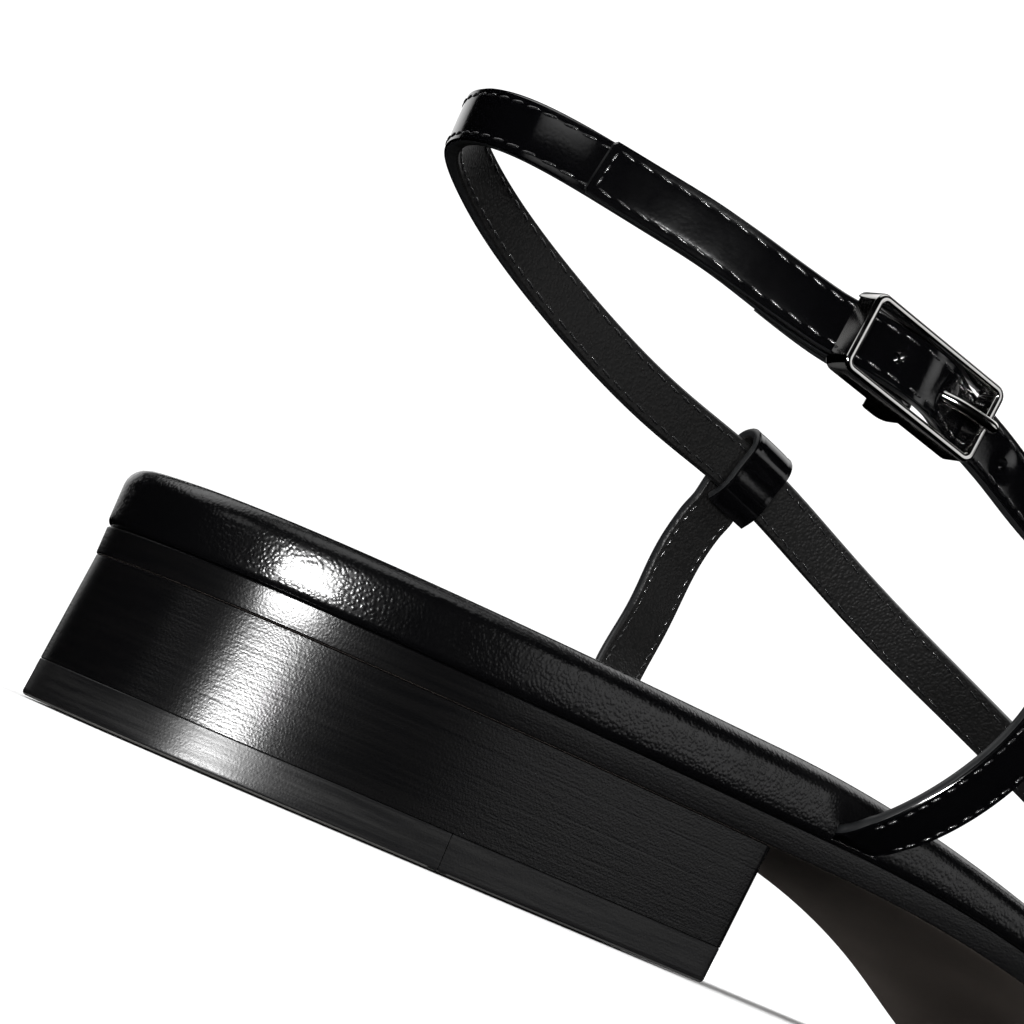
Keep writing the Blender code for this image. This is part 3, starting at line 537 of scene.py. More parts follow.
def combine(piece, other, operation):
    """Cuts another solid out of a piece, or unites the two, and throws the other away."""
    bpy.ops.object.select_all(action="DESELECT")
    bpy.context.view_layer.objects.active = piece
    piece.select_set(True)
    apply_modifier(piece, "BOOLEAN", operation=operation, object=other)
    bpy.data.objects.remove(other, do_unlink=True)
    edit("VERT", "SELECT")
    bpy.ops.mesh.remove_doubles(threshold=WELD)
    bpy.ops.object.mode_set(mode="OBJECT")


wrap = grained_finish("wrapped_footbed_leather", WRAP_BLACK, (2300.0, 0.034, 0.65), (55.0, 0.18, 0.27),
                      (0.3, 0.12))

low = [(FOOTBED_UNDER, 1.0, 0.0), (FOOTBED_UNDER, 0.4, 0.0)] + rounded_edge(FOOTBED_UNDER, 0.0, True)
rings = sole_rings(low, footbed_floor)
wall = sole_rings([(0.0, 0.0, FOOTBED_UNDER)], footbed_floor)[0]
rim = sole_rings([(0.0, 0.0, -FOOTBED_ROUND)], footbed_top)[0]
rings += [wall + (rim - wall) * share for share in (0.33, 0.66)]
rings += sole_rings(rounded_edge(FOOTBED_ROUND, 0.0, False), footbed_top)
for share in (0.05, 0.12, 0.2, 0.3, 0.4, 0.5, 0.6, 0.7, 0.8, 0.9, 1.0):
    dish = -FOOTBED_DISH * (1 - math.cos(math.pi * share)) / 2
    rings += sole_rings([(FOOTBED_ROUND, share, dish)], footbed_top)
footbed = lay_rings("footbed_wrapped", rings)
fit(footbed, "footbed", "footbed_leather", wrap)

post_hole = begin(
    bpy.ops.mesh.primitive_cylinder_add, vertices=32, radius=(POST_RADIUS + POST_CLEAR) * MM,
    depth=POST_HOLE * MM, location=in_frame((POST_X, POST_Y, float(footbed_top(POST_X)) + POST_HOLE_UP)))
combine(footbed, post_hole, "DIFFERENCE")
for side, edge in ((-1, OUTER_EDGE), (1, INNER_EDGE)):
    reach = float(np.interp(TAB_X, *np.array(edge).T))
    slit = begin(
        bpy.ops.mesh.primitive_cube_add, size=MM,
        scale=(TAB_WIDTH + SLIT_SPARE[0], SLIT_LONG, TAB_THICK + SLIT_SPARE[1]),
        location=in_frame((TAB_X, side * (reach + SLIT_OUT), TAB_Z + SLIT_UP)))
    combine(footbed, slit, "DIFFERENCE")
bpy.ops.object.shade_smooth_by_angle(angle=math.radians(35))

# Straps, the upper. Polished leather is glued to a pebbled lining, stitched along both edges and its edges
# painted. The long strap goes from the toe post by the inner side and the ankle's back to the buckle's bar
# and is folded round it; the short one goes up the outer side, through the buckle, and ends over the long.
STRAP_WIDTH = 6.6
STRAP_THICK = 1.8
STITCH_IN = 0.95
STITCH_GROOVE = 0.02
STRAP_CROWN = 0.04
LAYER = STRAP_THICK + 0.4
LONG_ROWS = (     # x, y, z, lean of the outer face to the sky in degrees
    (196.0, 9.3, 24.6, 58.0),
    (187.0, 12.6, 29.6, 54.0),
    (171.0, 17.6, 36.0, 46.0),
    (150.0, 23.6, 43.8, 34.0),
    (125.0, 29.6, 52.2, 20.0),
    (112.0, 31.8, 57.0, 14.0),
    (100.0, 32.8, 60.9, 9.0),
    (86.0, 32.0, 62.9, 6.0),
    (66.0, 31.1, 67.6, 2.0),
    (45.7, 28.6, 74.2, 0.0),
    (36.8, 24.0, 76.7, 0.0),
    (28.5, 16.9, 78.4, 0.0),
    (23.2, 7.4, 78.9, 0.0),
    (22.2, -2.6, 78.5, 0.0),
    (26.9, -11.4, 77.0, 0.0),
    (33.9, -18.9, 75.1, 0.0),
    (42.0, -25.6, 73.6, 0.0),
)
SHORT_ROWS = (
    (196.0, 8.7, 24.6, 58.0),
    (187.0, 4.4, 29.6, 54.0),
    (171.0, -5.4, 36.2, 46.0),
    (150.0, -16.4, 44.0, 34.0),
    (125.0, -26.0, 51.8, 20.0),
    (113.0, -29.2, 56.4, 14.0),
    (102.0, -30.9, 60.0, 9.0),
    (90.0, -32.4, 62.9, 5.0),
    (79.7, -34.1, 65.1, 3.0),
)
BUCKLE_AT = np.array((59.9, -34.0, 68.9))     # middle of the buckle's centre bar
BUCKLE_RUN = np.array((0.986, -0.068, -0.150))
BUCKLE_LEAN = math.radians(3.3)
BAR_RADIUS = 0.9
STRAP_HIGH = 0.3
LONG_IN_BUCKLE = ((-14.5, -4.5), (-10.0, -2.1), (-4.6, 0.7), (-1.8, 1.85))     # along the strap, outward
RETURN_ROWS = ((-5.0, 2.2), (-8.0, 1.9), (-12.0, 1.45), (-16.0, 1.05))     # along, drop inside the strap
SHORT_IN_BUCKLE = (
    (14.0, -0.2), (10.0, 0.65), (6.4, 2.3), (3.3, 3.95), (0.2, 4.4), (-4.4, 3.3), (-10.0, 0.35))
SKIVED = 0.2
SKIVED_LONG = 12.0
TIP_SEATED = -16.5
TIP_OVERLAP = 22.8
TIP_CORNER = 0.35
TIP_BEVEL = 0.75
HOLES = (-3.5, 3.9, 18.7)     # along the strap from the bar
HOLE_RADIUS = 0.75
DIMPLE_DEEP = 0.22
DIMPLE_WIDE = 0.95
PRONG_SLOT = 1.15
SLOT_LONG = 6.6
SLOT_AT = 0.6
STRAP_BLACK = (0.0008, 0.0008, 0.0010, 1.0)
LINING_BLACK = (0.0034, 0.0032, 0.0031, 1.0)
# painted shade: the lining's colour in the pebble's creases
LINING_CREASE_SHADE = (0.0016, 0.0016, 0.0016, 1.0)
EDGE_BLACK = (0.0070, 0.0074, 0.0080, 1.0)
UP = np.array((0.0, 0.0, 1.0))


def unit(v):
    return v / np.linalg.norm(v, axis=-1, keepdims=True)


def along(points):
    """How far each point of a run lies along it from the first."""
    return np.concatenate([[0.0], np.cumsum(np.linalg.norm(np.diff(points, axis=0), axis=1))])


def smooth(rows, step):
    """Even samples of a natural cubic through rows, measured along their first three columns."""
    rows = np.array(rows, float)
    knots = along(rows[:, :3])
    gaps = np.diff(knots)
    system = np.eye(len(rows))
    right = np.zeros_like(rows)
    for i in range(1, len(rows) - 1):
        system[i, i - 1:i + 2] = gaps[i - 1], 2 * (gaps[i - 1] + gaps[i]), gaps[i]
        right[i] = 6 * ((rows[i + 1] - rows[i]) / gaps[i] - (rows[i] - rows[i - 1]) / gaps[i - 1])
    bend = np.linalg.solve(system, right)
    out = []
    for s in np.linspace(0, knots[-1], max(int(knots[-1] / step), 2) + 1):
        i = int(np.clip(np.searchsorted(knots, s) - 1, 0, len(gaps) - 1))
        a = (knots[i + 1] - s) / gaps[i]
        b = 1 - a
        curl = ((a ** 3 - a) * bend[i] + (b ** 3 - b) * bend[i + 1]) * gaps[i] ** 2 / 6
        out.append(a * rows[i] + b * rows[i + 1] + curl)
    return np.array(out)


def standing_run(rows, outward):
    """A strap on edge round the foot: rows of place and width direction."""
    out = smooth(rows, 0.5)
    ahead = unit(np.gradient(out[:, :3], axis=0))
    level = unit(np.cross(ahead, UP)) * outward
    rise = unit(UP - (ahead @ UP)[:, None] * ahead)
    lean = np.radians(out[:, 3:4])
    return np.hstack([out[:, :3], rise * np.cos(lean) - level * np.sin(lean)])


def flat_run(rows, at, along_axis, out_axis, wide_axis):
    """A strap bent in one plane: rows of place and width direction."""
    flat = smooth([(a, b, 0.0) for a, b in rows], 0.3)
    points = at + flat[:, :1] * along_axis + flat[:, 1:2] * out_axis
    return np.hstack([points, np.tile(wide_axis, (len(points), 1))])


def relaxed(run, reach, firm):
    """A run with its small bends eased out over a reach; firm is how stiffly each row keeps its place."""
    far = along(run[:, :3])
    weight = np.exp(-((far[:, None] - far[None, :]) / reach) ** 2 / 2)
    soft = (weight @ run) / weight.sum(1, keepdims=True)
    ends = np.clip(np.minimum(far, far[-1] - far) / (2 * reach), 0, 1)[:, None]
    keep = np.maximum(firm[:, None], 1 - ends)
    return run * keep + soft * (1 - keep)


def leaning_axes(run, level, lean):
    """Directions square to a run: out of a strap's face and up across it, from a level one and a lean."""
    upright = unit(UP - (UP @ run) * run)
    return (level * math.cos(lean) + upright * math.sin(lean),
            upright * math.cos(lean) - level * math.sin(lean))


buckle_t = unit(BUCKLE_RUN)
buckle_n, buckle_w = leaning_axes(buckle_t, unit(np.cross(buckle_t, UP)), BUCKLE_LEAN)
seated = BUCKLE_AT + buckle_w * STRAP_HIGH
fold_radius = BAR_RADIUS + GAP + STRAP_THICK / 2
fold = tuple((fold_radius * math.sin(a), fold_radius * math.cos(a)) for a in np.radians(range(0, 181, 20)))


def frames(run, outer):
    """Places, ahead, width and outer directions along a run; outer is 1 or -1."""
    ahead = unit(np.gradient(run[:, :3], axis=0))
    wide = unit(run[:, 3:6] - (run[:, 3:6] * ahead).sum(1, keepdims=True) * ahead)
    return run[:, :3], ahead, wide, np.cross(wide, ahead) * outer


def from_bar(run, reach, ease):
    """How near each row is to the buckle's bar: 1 inside a reach, falling to 0 over an ease."""
    return np.clip((reach + ease - np.linalg.norm(run[:, :3] - BUCKLE_AT, axis=1)) / ease, 0, 1)


long_foot = standing_run(LONG_ROWS, 1.0)
long_in = flat_run(LONG_IN_BUCKLE + fold[:1], seated, buckle_t, buckle_n, buckle_w)
long_on = smooth(np.vstack([long_foot[::12], long_in[1::2]]), 0.4)
long_on = relaxed(long_on, reach=5.0, firm=from_bar(long_on, reach=6.0, ease=5.0))
places, ahead, wide, out = frames(long_on, -1.0)
turned = flat_run(fold, seated, buckle_t, buckle_n, buckle_w)


def row_at(places, s):
    """The row of a run, near the buckle, at a distance along the strap from the bar."""
    off = np.abs((places - BUCKLE_AT) @ buckle_t - s)
    return int(np.argmin(np.where(np.linalg.norm(places - BUCKLE_AT, axis=1) < 30, off, 1e3)))


flap = []
for s, drop in RETURN_ROWS:
    i = row_at(places, s)
    flap.append(np.concatenate([places[i] - out[i] * drop, wide[i]]))
LONG_RUN = smooth(np.vstack([long_on[:-3:4], turned[::2], flap]), 0.4)

tip_start = row_at(places, TIP_SEATED)
tip = np.hstack([places + out * LAYER, wide])[tip_start:tip_start - int(TIP_OVERLAP / 0.4):-4]
short_foot = standing_run(SHORT_ROWS, -1.0)
short_cross = flat_run(SHORT_IN_BUCKLE, seated, buckle_t, buckle_n, buckle_w)
SHORT_RUN = smooth(np.vstack([short_foot[::12], short_cross[::5], tip]), 0.4)
beyond = np.arange(len(SHORT_RUN)) > int(np.argmin(np.linalg.norm(SHORT_RUN[:, :3] - BUCKLE_AT, axis=1)))
on_long = (1 - from_bar(SHORT_RUN, reach=24.0, ease=4.0)) * beyond
in_buckle = from_bar(SHORT_RUN, reach=11.0, ease=4.0)
SHORT_RUN = relaxed(SHORT_RUN, reach=3.5, firm=np.maximum(in_buckle, on_long))


def band_section(width, thick):
    """A band's outline and its slots, round from one edge: outer face 0, edges 1, lining 2."""
    half = width / 2
    line = half - STITCH_IN
    face = [half - 0.3, half - 0.55, line + 0.2, line, line - 0.2, line - 0.6]
    face += [line * 0.52, line * 0.3, line * 0.1]
    face = face + [-x for x in face[::-1]]
    top = []
    for x in face:
        sunk = STITCH_GROOVE * math.exp(-((abs(x) - line) / 0.22) ** 2)
        dome = STRAP_CROWN * max(1 - (x / line) ** 2, 0.0)
        top.append((x, thick / 2 + dome - sunk))
    side = [(half - 0.1, 0.36 * thick), (half, 0.16 * thick)]
    side += [(x, -y) for x, y in side[::-1]]
    inner = []
    for x in (half - 0.3, line + 0.2, line, line - 0.2, line * 0.5, 0.0):
        inner.append((x, -thick / 2 + 0.5 * STITCH_GROOVE * math.exp(-((x - line) / 0.22) ** 2)))
    inner = [(-x, y) for x, y in inner] + inner[-2::-1]
    far = [(-x, y) for x, y in side]
    outline = top + far + inner + side[::-1]
    painted = [1] * (len(side) - 1)
    slots = [0] * len(top) + painted + [2] * (len(inner) + 1) + painted + [0]
    return np.array(outline), slots


def lay_band(name, run, outer, width, thick, thickness=1.0, corner=0.0, bevel=0.0):
    """A flat band along a run; thickness scales its section, corner and bevel ease its far end."""
    places, ahead, wide, out = frames(run, outer)
    outline, slots = band_section(width, thick)
    scale = thickness * np.ones(len(run))
    to_end = along(places[::-1])[::-1]
    narrow = corner - np.sqrt(corner ** 2 - np.clip(corner - to_end, 0, corner) ** 2)
    back = np.clip(bevel - to_end / 4, 0, None)
    to_face = outline[:, 1:] / thick + 0.5
    rings = []
    for i in range(len(run)):
        across = outline[:, :1] * (1 - 2 * narrow[i] / width)
        ring = places[i] + wide[i] * across + out[i] * outline[:, 1:] * scale[i]
        rings.append(ring - ahead[i] * back[i] * to_face)
    piece = lay_rings(name, rings, slots)
    for polygon in piece.data.polygons:
        if len(polygon.vertices) == len(outline):
            polygon.material_index = 1
    return piece


# Polished leather: a faint orange-peel under the shine
strap_face = grained_finish("polished_strap_leather", STRAP_BLACK, (1900.0, 0.005, 0.5), (140.0, 0.08, 0.13),
                            (0.6, 0.06))

strap_edge, tree, shader, place = new_finish("painted_strap_edge", EDGE_BLACK, 0.34, (0.3, 0.2))
waves = use_effect(tree, handled, place, Size=600.0)
vary_roughness(tree, shader, waves["Amount"], 0.28, 0.44)
emboss(tree, shader, waves["Amount"], 0.02, 0.5)

strap_lining, tree, shader, place = new_finish("pebbled_strap_lining", LINING_BLACK, 0.46)
grain = use_effect(tree, pebble, place, Size=2300.0)
# Painted shade: the lining's colour darkens where the pebble cells meet, in the creases.
vary_colour(tree, shader, grain["CreaseShade"], LINING_BLACK, LINING_CREASE_SHADE)
emboss(tree, shader, grain["Height"], 0.05, 0.8)
STRAP_FINISHES = (strap_face, strap_edge, strap_lining)

to_end = along(LONG_RUN[::-1, :3])[::-1]
skive = (SKIVED + (STRAP_THICK - SKIVED) * np.clip(to_end / SKIVED_LONG, 0, 1)) / STRAP_THICK
strap_long = lay_band("strap_long", LONG_RUN, -1.0, STRAP_WIDTH, STRAP_THICK, skive)
strap_short = lay_band("strap_short", SHORT_RUN, 1.0, STRAP_WIDTH, STRAP_THICK, 1.0, TIP_CORNER, TIP_BEVEL)


def buckle_matrix(s):
    """A place along the buckle's middle, with x along the strap, y across it and z outward."""
    spot = in_frame(BUCKLE_AT + buckle_t * s)
    axes = Matrix((buckle_t, buckle_w, buckle_n)).transposed()
    return Matrix.Translation(spot) @ axes.to_4x4()


slot_cutter = begin(bpy.ops.mesh.primitive_cube_add, size=MM, scale=(SLOT_LONG, 2 * PRONG_SLOT, SLOT_LONG))
slot_cutter.matrix_world = buckle_matrix(SLOT_AT) @ slot_cutter.matrix_world
for finish in STRAP_FINISHES:
    strap_long.data.materials.append(finish)
    strap_short.data.materials.append(finish)
combine(strap_long, slot_cutter, "DIFFERENCE")

# Punched holes, each with the leather drawn down round it
places, ahead, wide, out = frames(SHORT_RUN, 1.0)
vertices = np.zeros(len(strap_short.data.vertices) * 3)
strap_short.data.vertices.foreach_get("co", vertices)
vertices = vertices.reshape(-1, 3)
hole_spots = []
for s in HOLES:
    i = row_at(places, s)
    spot = in_frame(places[i])
    hole_spots.append((spot, ahead[i], wide[i], out[i]))
    reach = np.linalg.norm(np.cross(vertices - spot, out[i]), axis=1)
    facing = (vertices - spot) @ out[i]
    sink = DIMPLE_DEEP * MM * np.exp(-(np.clip(reach / MM - HOLE_RADIUS, 0, None) / DIMPLE_WIDE) ** 2)
    vertices -= np.outer(np.where((facing > 0) & (facing < 2 * MM), sink, 0.0), out[i])
strap_short.data.vertices.foreach_set("co", vertices.ravel())
for spot, run, across, outward in hole_spots:
    punch = begin(bpy.ops.mesh.primitive_cylinder_add, vertices=24, radius=HOLE_RADIUS * MM, depth=5 * MM)
    punch.matrix_world = Matrix.Translation(spot) @ Matrix((run, -across, outward)).transposed().to_4x4()
    combine(strap_short, punch, "DIFFERENCE")
edit("FACE", "DESELECT")
bpy.ops.mesh.select_face_by_sides(number=4, type="GREATER")
bpy.ops.mesh.quads_convert_to_tris(ngon_method="BEAUTY")
bpy.ops.object.mode_set(mode="OBJECT")

# Toe post: a rolled leather tube that holds both straps' ends and goes down through the footbed
post_floor = float(footbed_top(POST_X))
POST_PROFILE = (     # height, radius
    (post_floor - 2.6, POST_RADIUS),
    (post_floor + 0.6, POST_RADIUS),
    (post_floor + 4.0, 2.55),
    (post_floor + 11.0, 2.5),
    (25.4, 2.9),
    (26.7, 2.75),
    (27.3, 2.2),
    (27.6, 1.3),
    (27.7, 0.3),
)
post_rows = smooth([(r, 0.0, z) for z, r in POST_PROFILE], 0.35)
turns = np.linspace(0, 2 * math.pi, 41)[:-1]
post_rings = []
for r, _, z in post_rows:
    post_rings.append([(POST_X + r * math.cos(a), POST_Y + r * math.sin(a), z) for a in turns])
toe_post = lay_rings("toe_post", post_rings)
toe_post.data.materials.append(strap_face)

bpy.ops.object.select_all(action="DESELECT")
for piece in (strap_short, toe_post, strap_long):
    piece.select_set(True)
bpy.context.view_layer.objects.active = strap_long
bpy.ops.object.join()
straps = bpy.context.object
straps.name = "strap_upper_leather"
bpy.ops.object.shade_smooth_by_angle(angle=math.radians(40))
fit(straps, "strap_upper", "strap_leather")

# Side tabs. A strip of the strap's leather is let in between footbed and outsole, stands up beside the foot,
# and is folded over the strap and sewn to itself below it, which makes a loop that the strap slides in.
TAB_ROWS = (     # x, distance beyond the footbed's edge, z
    (88.9, -4.8, 21.6),
    (88.9, -1.4, 21.6),
    (89.5, 2.1, 22.4),
    (91.1, 5.0, 25.4),
    (93.1, 7.4, 29.1),
    (95.5, 9.4, 34.0),
    (97.9, 10.4, 39.4),
    (99.9, 10.3, 45.0),
)
TAB_CLEAR = 4.4
LOOP_ROW = 6
LOOP_HELD = 9.0
LOOP_EASE = 3.0
LOOP_OUT = STRAP_THICK / 2 + GAP + 0.1 + TAB_THICK / 2
LOOP_TOP = STRAP_WIDTH / 2 + GAP + 0.1 - 1.1
LOOP_UP = (     # up, outward
    (-9.4, 2.1), (-6.2, 1.55), (-3.2, LOOP_OUT), (0.0, LOOP_OUT), (LOOP_TOP, LOOP_OUT))
LOOP_DOWN = ((LOOP_TOP, -LOOP_OUT), (0.0, -LOOP_OUT), (-3.2, -LOOP_OUT), (-5.3, -0.9))


def tab_run(side, rows, edge):
    """A tab's run: out of the seam, up beside the foot, over the strap and down inside it."""
    reach = float(np.interp(TAB_X, *np.array(edge).T))
    flare = (abs(rows[LOOP_ROW][1]) - reach + TAB_CLEAR) / TAB_ROWS[-1][1]
    rise = smooth([(x, side * (reach + (out * flare if out > 0 else out)), z) for x, out, z in TAB_ROWS], 1.2)
    loop = np.array(rows[LOOP_ROW][:3])
    run = unit(np.array(rows[LOOP_ROW - 1][:3]) - np.array(rows[LOOP_ROW + 1][:3]))
    lean = math.radians(rows[LOOP_ROW][3])
    level = unit(np.cross(run, UP))
    out_axis, up_axis = leaning_axes(run, level if level[1] * side > 0 else -level, lean)
    turn = np.radians(np.arange(15, 180, 15))
    arc = tuple((LOOP_TOP + LOOP_OUT * math.sin(a), LOOP_OUT * math.cos(a)) for a in turn)
    bend = flat_run(LOOP_UP + arc + LOOP_DOWN, loop, up_axis, out_axis, run)
    share = np.linspace(0, 1, len(rise))[:, None]
    wide = unit(np.array((1.0, 0.0, 0.0)) * (1 - share) + run * share)
    run = smooth(np.vstack([np.hstack([rise, wide])[:-2:5], bend[::2]]), 0.4)
    at_loop = np.clip((LOOP_HELD - np.linalg.norm(run[:, :3] - loop, axis=1)) / LOOP_EASE, 0, 1)
    return relaxed(run, reach=4.0, firm=at_loop)


TAB_RUNS = {}
for name, side, rows, edge in (("strap_tab_left", 1, LONG_ROWS, INNER_EDGE),
                               ("strap_tab_right", -1, SHORT_ROWS, OUTER_EDGE)):
    TAB_RUNS[name] = (tab_run(side, rows, edge), -side)
    tab = lay_band(name + "_leather", *TAB_RUNS[name], TAB_WIDTH, TAB_THICK)
    fit(tab, name, "tab_leather", *STRAP_FINISHES)

# Stitching. Waxed black thread in a lock stitch runs along both edges of straps and tabs and across the short
# strap's end, pulled down into the leather on both faces.
STITCH_PITCH = 2.45
STITCH_LONG = 1.9
TAB_PITCH = 1.75
TAB_STITCH = 1.3
TAB_LOOP = 23.0
STITCH_WIDE = 0.38
STITCH_HIGH = 0.34
STITCH_PROUD = 0.02
STITCH_SLANT = 0.12
STRAP_START = 9.0
TAB_START = 8.0
CROSS_LONG = 1.25
CROSS_ROW = -5
CROSS_AT = (-1.5, 0.0, 1.5)
STRAP_SEAMS = (     # run, its outer side, face, where the seam stops before the end
    (LONG_RUN, -1.0, 1, 20.0),
    (LONG_RUN, -1.0, -1, 24.0),
    (SHORT_RUN, 1.0, 1, 1.6),
    (SHORT_RUN, 1.0, -1, 1.6),
)
THREAD_BLACK = (0.004, 0.004, 0.0044, 1.0)

thread, tree, shader, place = new_finish("waxed_black_thread", THREAD_BLACK, 0.2, (1.0, 0.12),
                                         {"Specular IOR Level": 1.0})
twist = use_effect(tree, handled, place, Size=2600.0)
vary_roughness(tree, shader, twist["Amount"], 0.14, 0.34)
emboss(tree, shader, twist["Amount"], 0.06, 0.9)


def stitch_spots(run, outer, across, height, first, stop, pitch=STITCH_PITCH, length=STITCH_LONG):
    """Centres and directions of stitches at even steps along a run, on one face."""
    places, ahead, wide, out = frames(run, outer)
    far = along(places)
    spots = []
    for s in np.arange(first, far[-1] - stop, pitch):
        i = int(np.searchsorted(far, s))
        spots.append((places[i] + wide[i] * across + out[i] * height, ahead[i], wide[i], out[i], length))
    return spots


def sew(name, spots):
    """One stitch is shaped, copied to every spot and the copies joined as one mesh."""
    piece = begin(bpy.ops.mesh.primitive_uv_sphere_add, segments=8, ring_count=6, radius=0.5)
    bpy.ops.transform.rotate(value=math.radians(90), orient_axis="Y", center_override=(0, 0, 0))
    bpy.ops.object.transform_apply(location=False, rotation=True, scale=False)
    shape = np.array([v.co for v in piece.data.vertices])
    shape = np.sign(shape) * np.abs(shape) ** np.array((0.8, 1.0, 1.0)) * 0.5 ** np.array((0.2, 0, 0))
    order = np.lexsort(shape.round(5).T)     # a new sphere's own order differs from run to run
    faces = sorted(tuple(np.argsort(order)[list(p.vertices)].tolist()) for p in piece.data.polygons)
    shape = shape[order]
    points = []
    joined = []
    for spot, ahead, wide, out, length in spots:
        base = len(points)
        slant = unit(ahead + wide * STITCH_SLANT)
        local = shape * (length, STITCH_WIDE, STITCH_HIGH)
        points += list(spot + local[:, :1] * slant + local[:, 1:2] * wide + local[:, 2:] * out)
        joined += [tuple(base + i for i in face) for face in faces]
    piece.name = name
    piece.data.clear_geometry()
    piece.data.from_pydata(in_frame(points).tolist(), [], joined)
    piece.data.materials.append(thread)
    edit("VERT", "SELECT")
    bpy.ops.mesh.normals_make_consistent(inside=False)
    bpy.ops.object.mode_set(mode="OBJECT")
    bpy.ops.object.shade_smooth()
    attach(piece, "root")


strap_line = STRAP_WIDTH / 2 - STITCH_IN
strap_top = STRAP_THICK / 2 - STITCH_GROOVE + STITCH_PROUD
spots = []
for across in (-strap_line, strap_line):
    for run, outer, face, stop in STRAP_SEAMS:
        spots += stitch_spots(run, outer, across, face * strap_top, STRAP_START, stop)
places, ahead, wide, out = frames(SHORT_RUN, 1.0)
i = CROSS_ROW
for across in CROSS_AT:
    spots.append((places[i] + wide[i] * across + out[i] * strap_top,
                  wide[i], -ahead[i], out[i], CROSS_LONG))
sew("strap_stitching", spots)

tab_line = TAB_WIDTH / 2 - STITCH_IN
tab_top = TAB_THICK / 2 - STITCH_GROOVE + STITCH_PROUD
spots = []
for run, outer in TAB_RUNS.values():
    for across in (-tab_line, tab_line):
        for height in (tab_top, -tab_top):
            spots += stitch_spots(run, outer, across, height, TAB_START, TAB_LOOP, TAB_PITCH, TAB_STITCH)
sew("tab_stitching", spots)

# Buckle. A small cast frame of polished nickel plate, deep at its sides, with a lug at the middle of each for
# the centre bar. The pin is a wire curled round that bar; its tip rests on the front bar.
FRAME_LONG = 21.1
FRAME_WIDE = 9.6
FRAME_WALL = 1.0
FRAME_BAR = 1.15
FRAME_TOP = 5.3
FRAME_CORNER = 1.4
FRAME_EDGE = 0.42
FRAME_BOTTOM = 1.4
END_BAR_BOTTOM = 2.2
RELIEF_HIGH = 2.0
RELIEF_SPARE = 1.2
RELIEF_ROUND = 0.25
LUG_HALF = 1.9
LUG_TOP = FRAME_BOTTOM + 1.0
LUG_BOTTOM = -1.3
LUG_IN = 0.02
LUG_ROUND = 1.3
PRONG_RADIUS = 0.7
PRONG_TIP = 0.7
PRONG_ROWS = (     # along the strap, outward
    (1.9, 2.5), (3.3, 4.0), (4.9, 5.25), (6.8, 6.0), (8.8, 6.35), (10.1, 6.4), (10.9, 6.2))
NICKEL = (0.80, 0.79, 0.775, 1.0)

nickel, tree, shader, place = new_finish("polished_nickel", NICKEL, 0.07, None, {"Metallic": 1.0})
rub = use_effect(tree, handled, place, Size=420.0)
vary_roughness(tree, shader, rub["Amount"], 0.05, 0.14)
emboss(tree, shader, rub["Amount"], 0.004, 0.4)

buckle = begin(bpy.ops.mesh.primitive_plane_add, size=1.0, location=(0, 0, FRAME_TOP))
buckle.name = "buckle_frame_polished"
bpy.ops.transform.resize(value=(FRAME_LONG, FRAME_WIDE, 1.0))
bpy.ops.object.transform_apply(location=True, rotation=True, scale=True)
edit("VERT", "SELECT")
bpy.ops.mesh.bevel(offset=FRAME_CORNER, segments=6, affect="VERTICES")
bpy.ops.mesh.select_mode(type="FACE")
bpy.ops.mesh.inset(thickness=FRAME_WALL)
bpy.ops.transform.resize(value=((FRAME_LONG - 2 * FRAME_BAR) / (FRAME_LONG - 2 * FRAME_WALL), 1.0, 1.0))
bpy.ops.mesh.delete(type="FACE")
bpy.ops.object.mode_set(mode="OBJECT")
apply_modifier(buckle, "SOLIDIFY", thickness=FRAME_TOP - FRAME_BOTTOM, offset=-1.0)
apply_modifier(buckle, "BEVEL", width=FRAME_EDGE, segments=5, limit_method="ANGLE",
               angle_limit=math.radians(50))


def block(sizes, at, rounding, segments, wanted):
    """A cutter or lug in the buckle's own millimetres; edges whose two ends pass a test are rounded."""
    made = begin(bpy.ops.mesh.primitive_cube_add, size=1.0, location=at, scale=sizes)
    bpy.ops.object.transform_apply(location=True, rotation=True, scale=True)
    edit("EDGE", "DESELECT")
    bpy.ops.object.mode_set(mode="OBJECT")
    for edge in made.data.edges:
        a, b = (made.data.vertices[i].co for i in edge.vertices)
        edge.select = wanted(a, b)
    bpy.ops.object.mode_set(mode="EDIT")
    bpy.ops.mesh.bevel(offset=rounding, segments=segments)
    bpy.ops.object.mode_set(mode="OBJECT")
    return made


clear = FRAME_WIDE - 2 * FRAME_WALL
for end in (-1, 1):
    relief = (end * FRAME_LONG / 2, 0, END_BAR_BOTTOM - RELIEF_HIGH / 2)
    sizes = (2 * FRAME_BAR + RELIEF_SPARE, clear, RELIEF_HIGH)
    combine(buckle, block(sizes, relief, RELIEF_ROUND, 3, lambda a, b: True), "DIFFERENCE")
for side in (-1, 1):
    middle = (0, side * (FRAME_WIDE - FRAME_WALL) / 2, (LUG_TOP + LUG_BOTTOM) / 2)
    lug = block((2 * LUG_HALF, FRAME_WALL - LUG_IN, LUG_TOP - LUG_BOTTOM), middle, LUG_ROUND, 6,
                lambda a, b: max(a.z, b.z) < LUG_BOTTOM + 0.1 and abs(a.x - b.x) < 0.1)
    combine(buckle, lug, "UNION")
centre_bar = begin(bpy.ops.mesh.primitive_cylinder_add, vertices=28, radius=BAR_RADIUS,
                   depth=FRAME_WIDE - FRAME_WALL, rotation=(math.radians(90), 0, 0))
combine(buckle, centre_bar, "UNION")
buckle.data.transform(Matrix.Scale(MM, 4))
buckle.data.transform(buckle_matrix(0.0))
buckle.data.materials.clear()
bpy.ops.object.shade_smooth_by_angle(angle=math.radians(30))
fit(buckle, "buckle_frame", "buckle_metal", nickel)

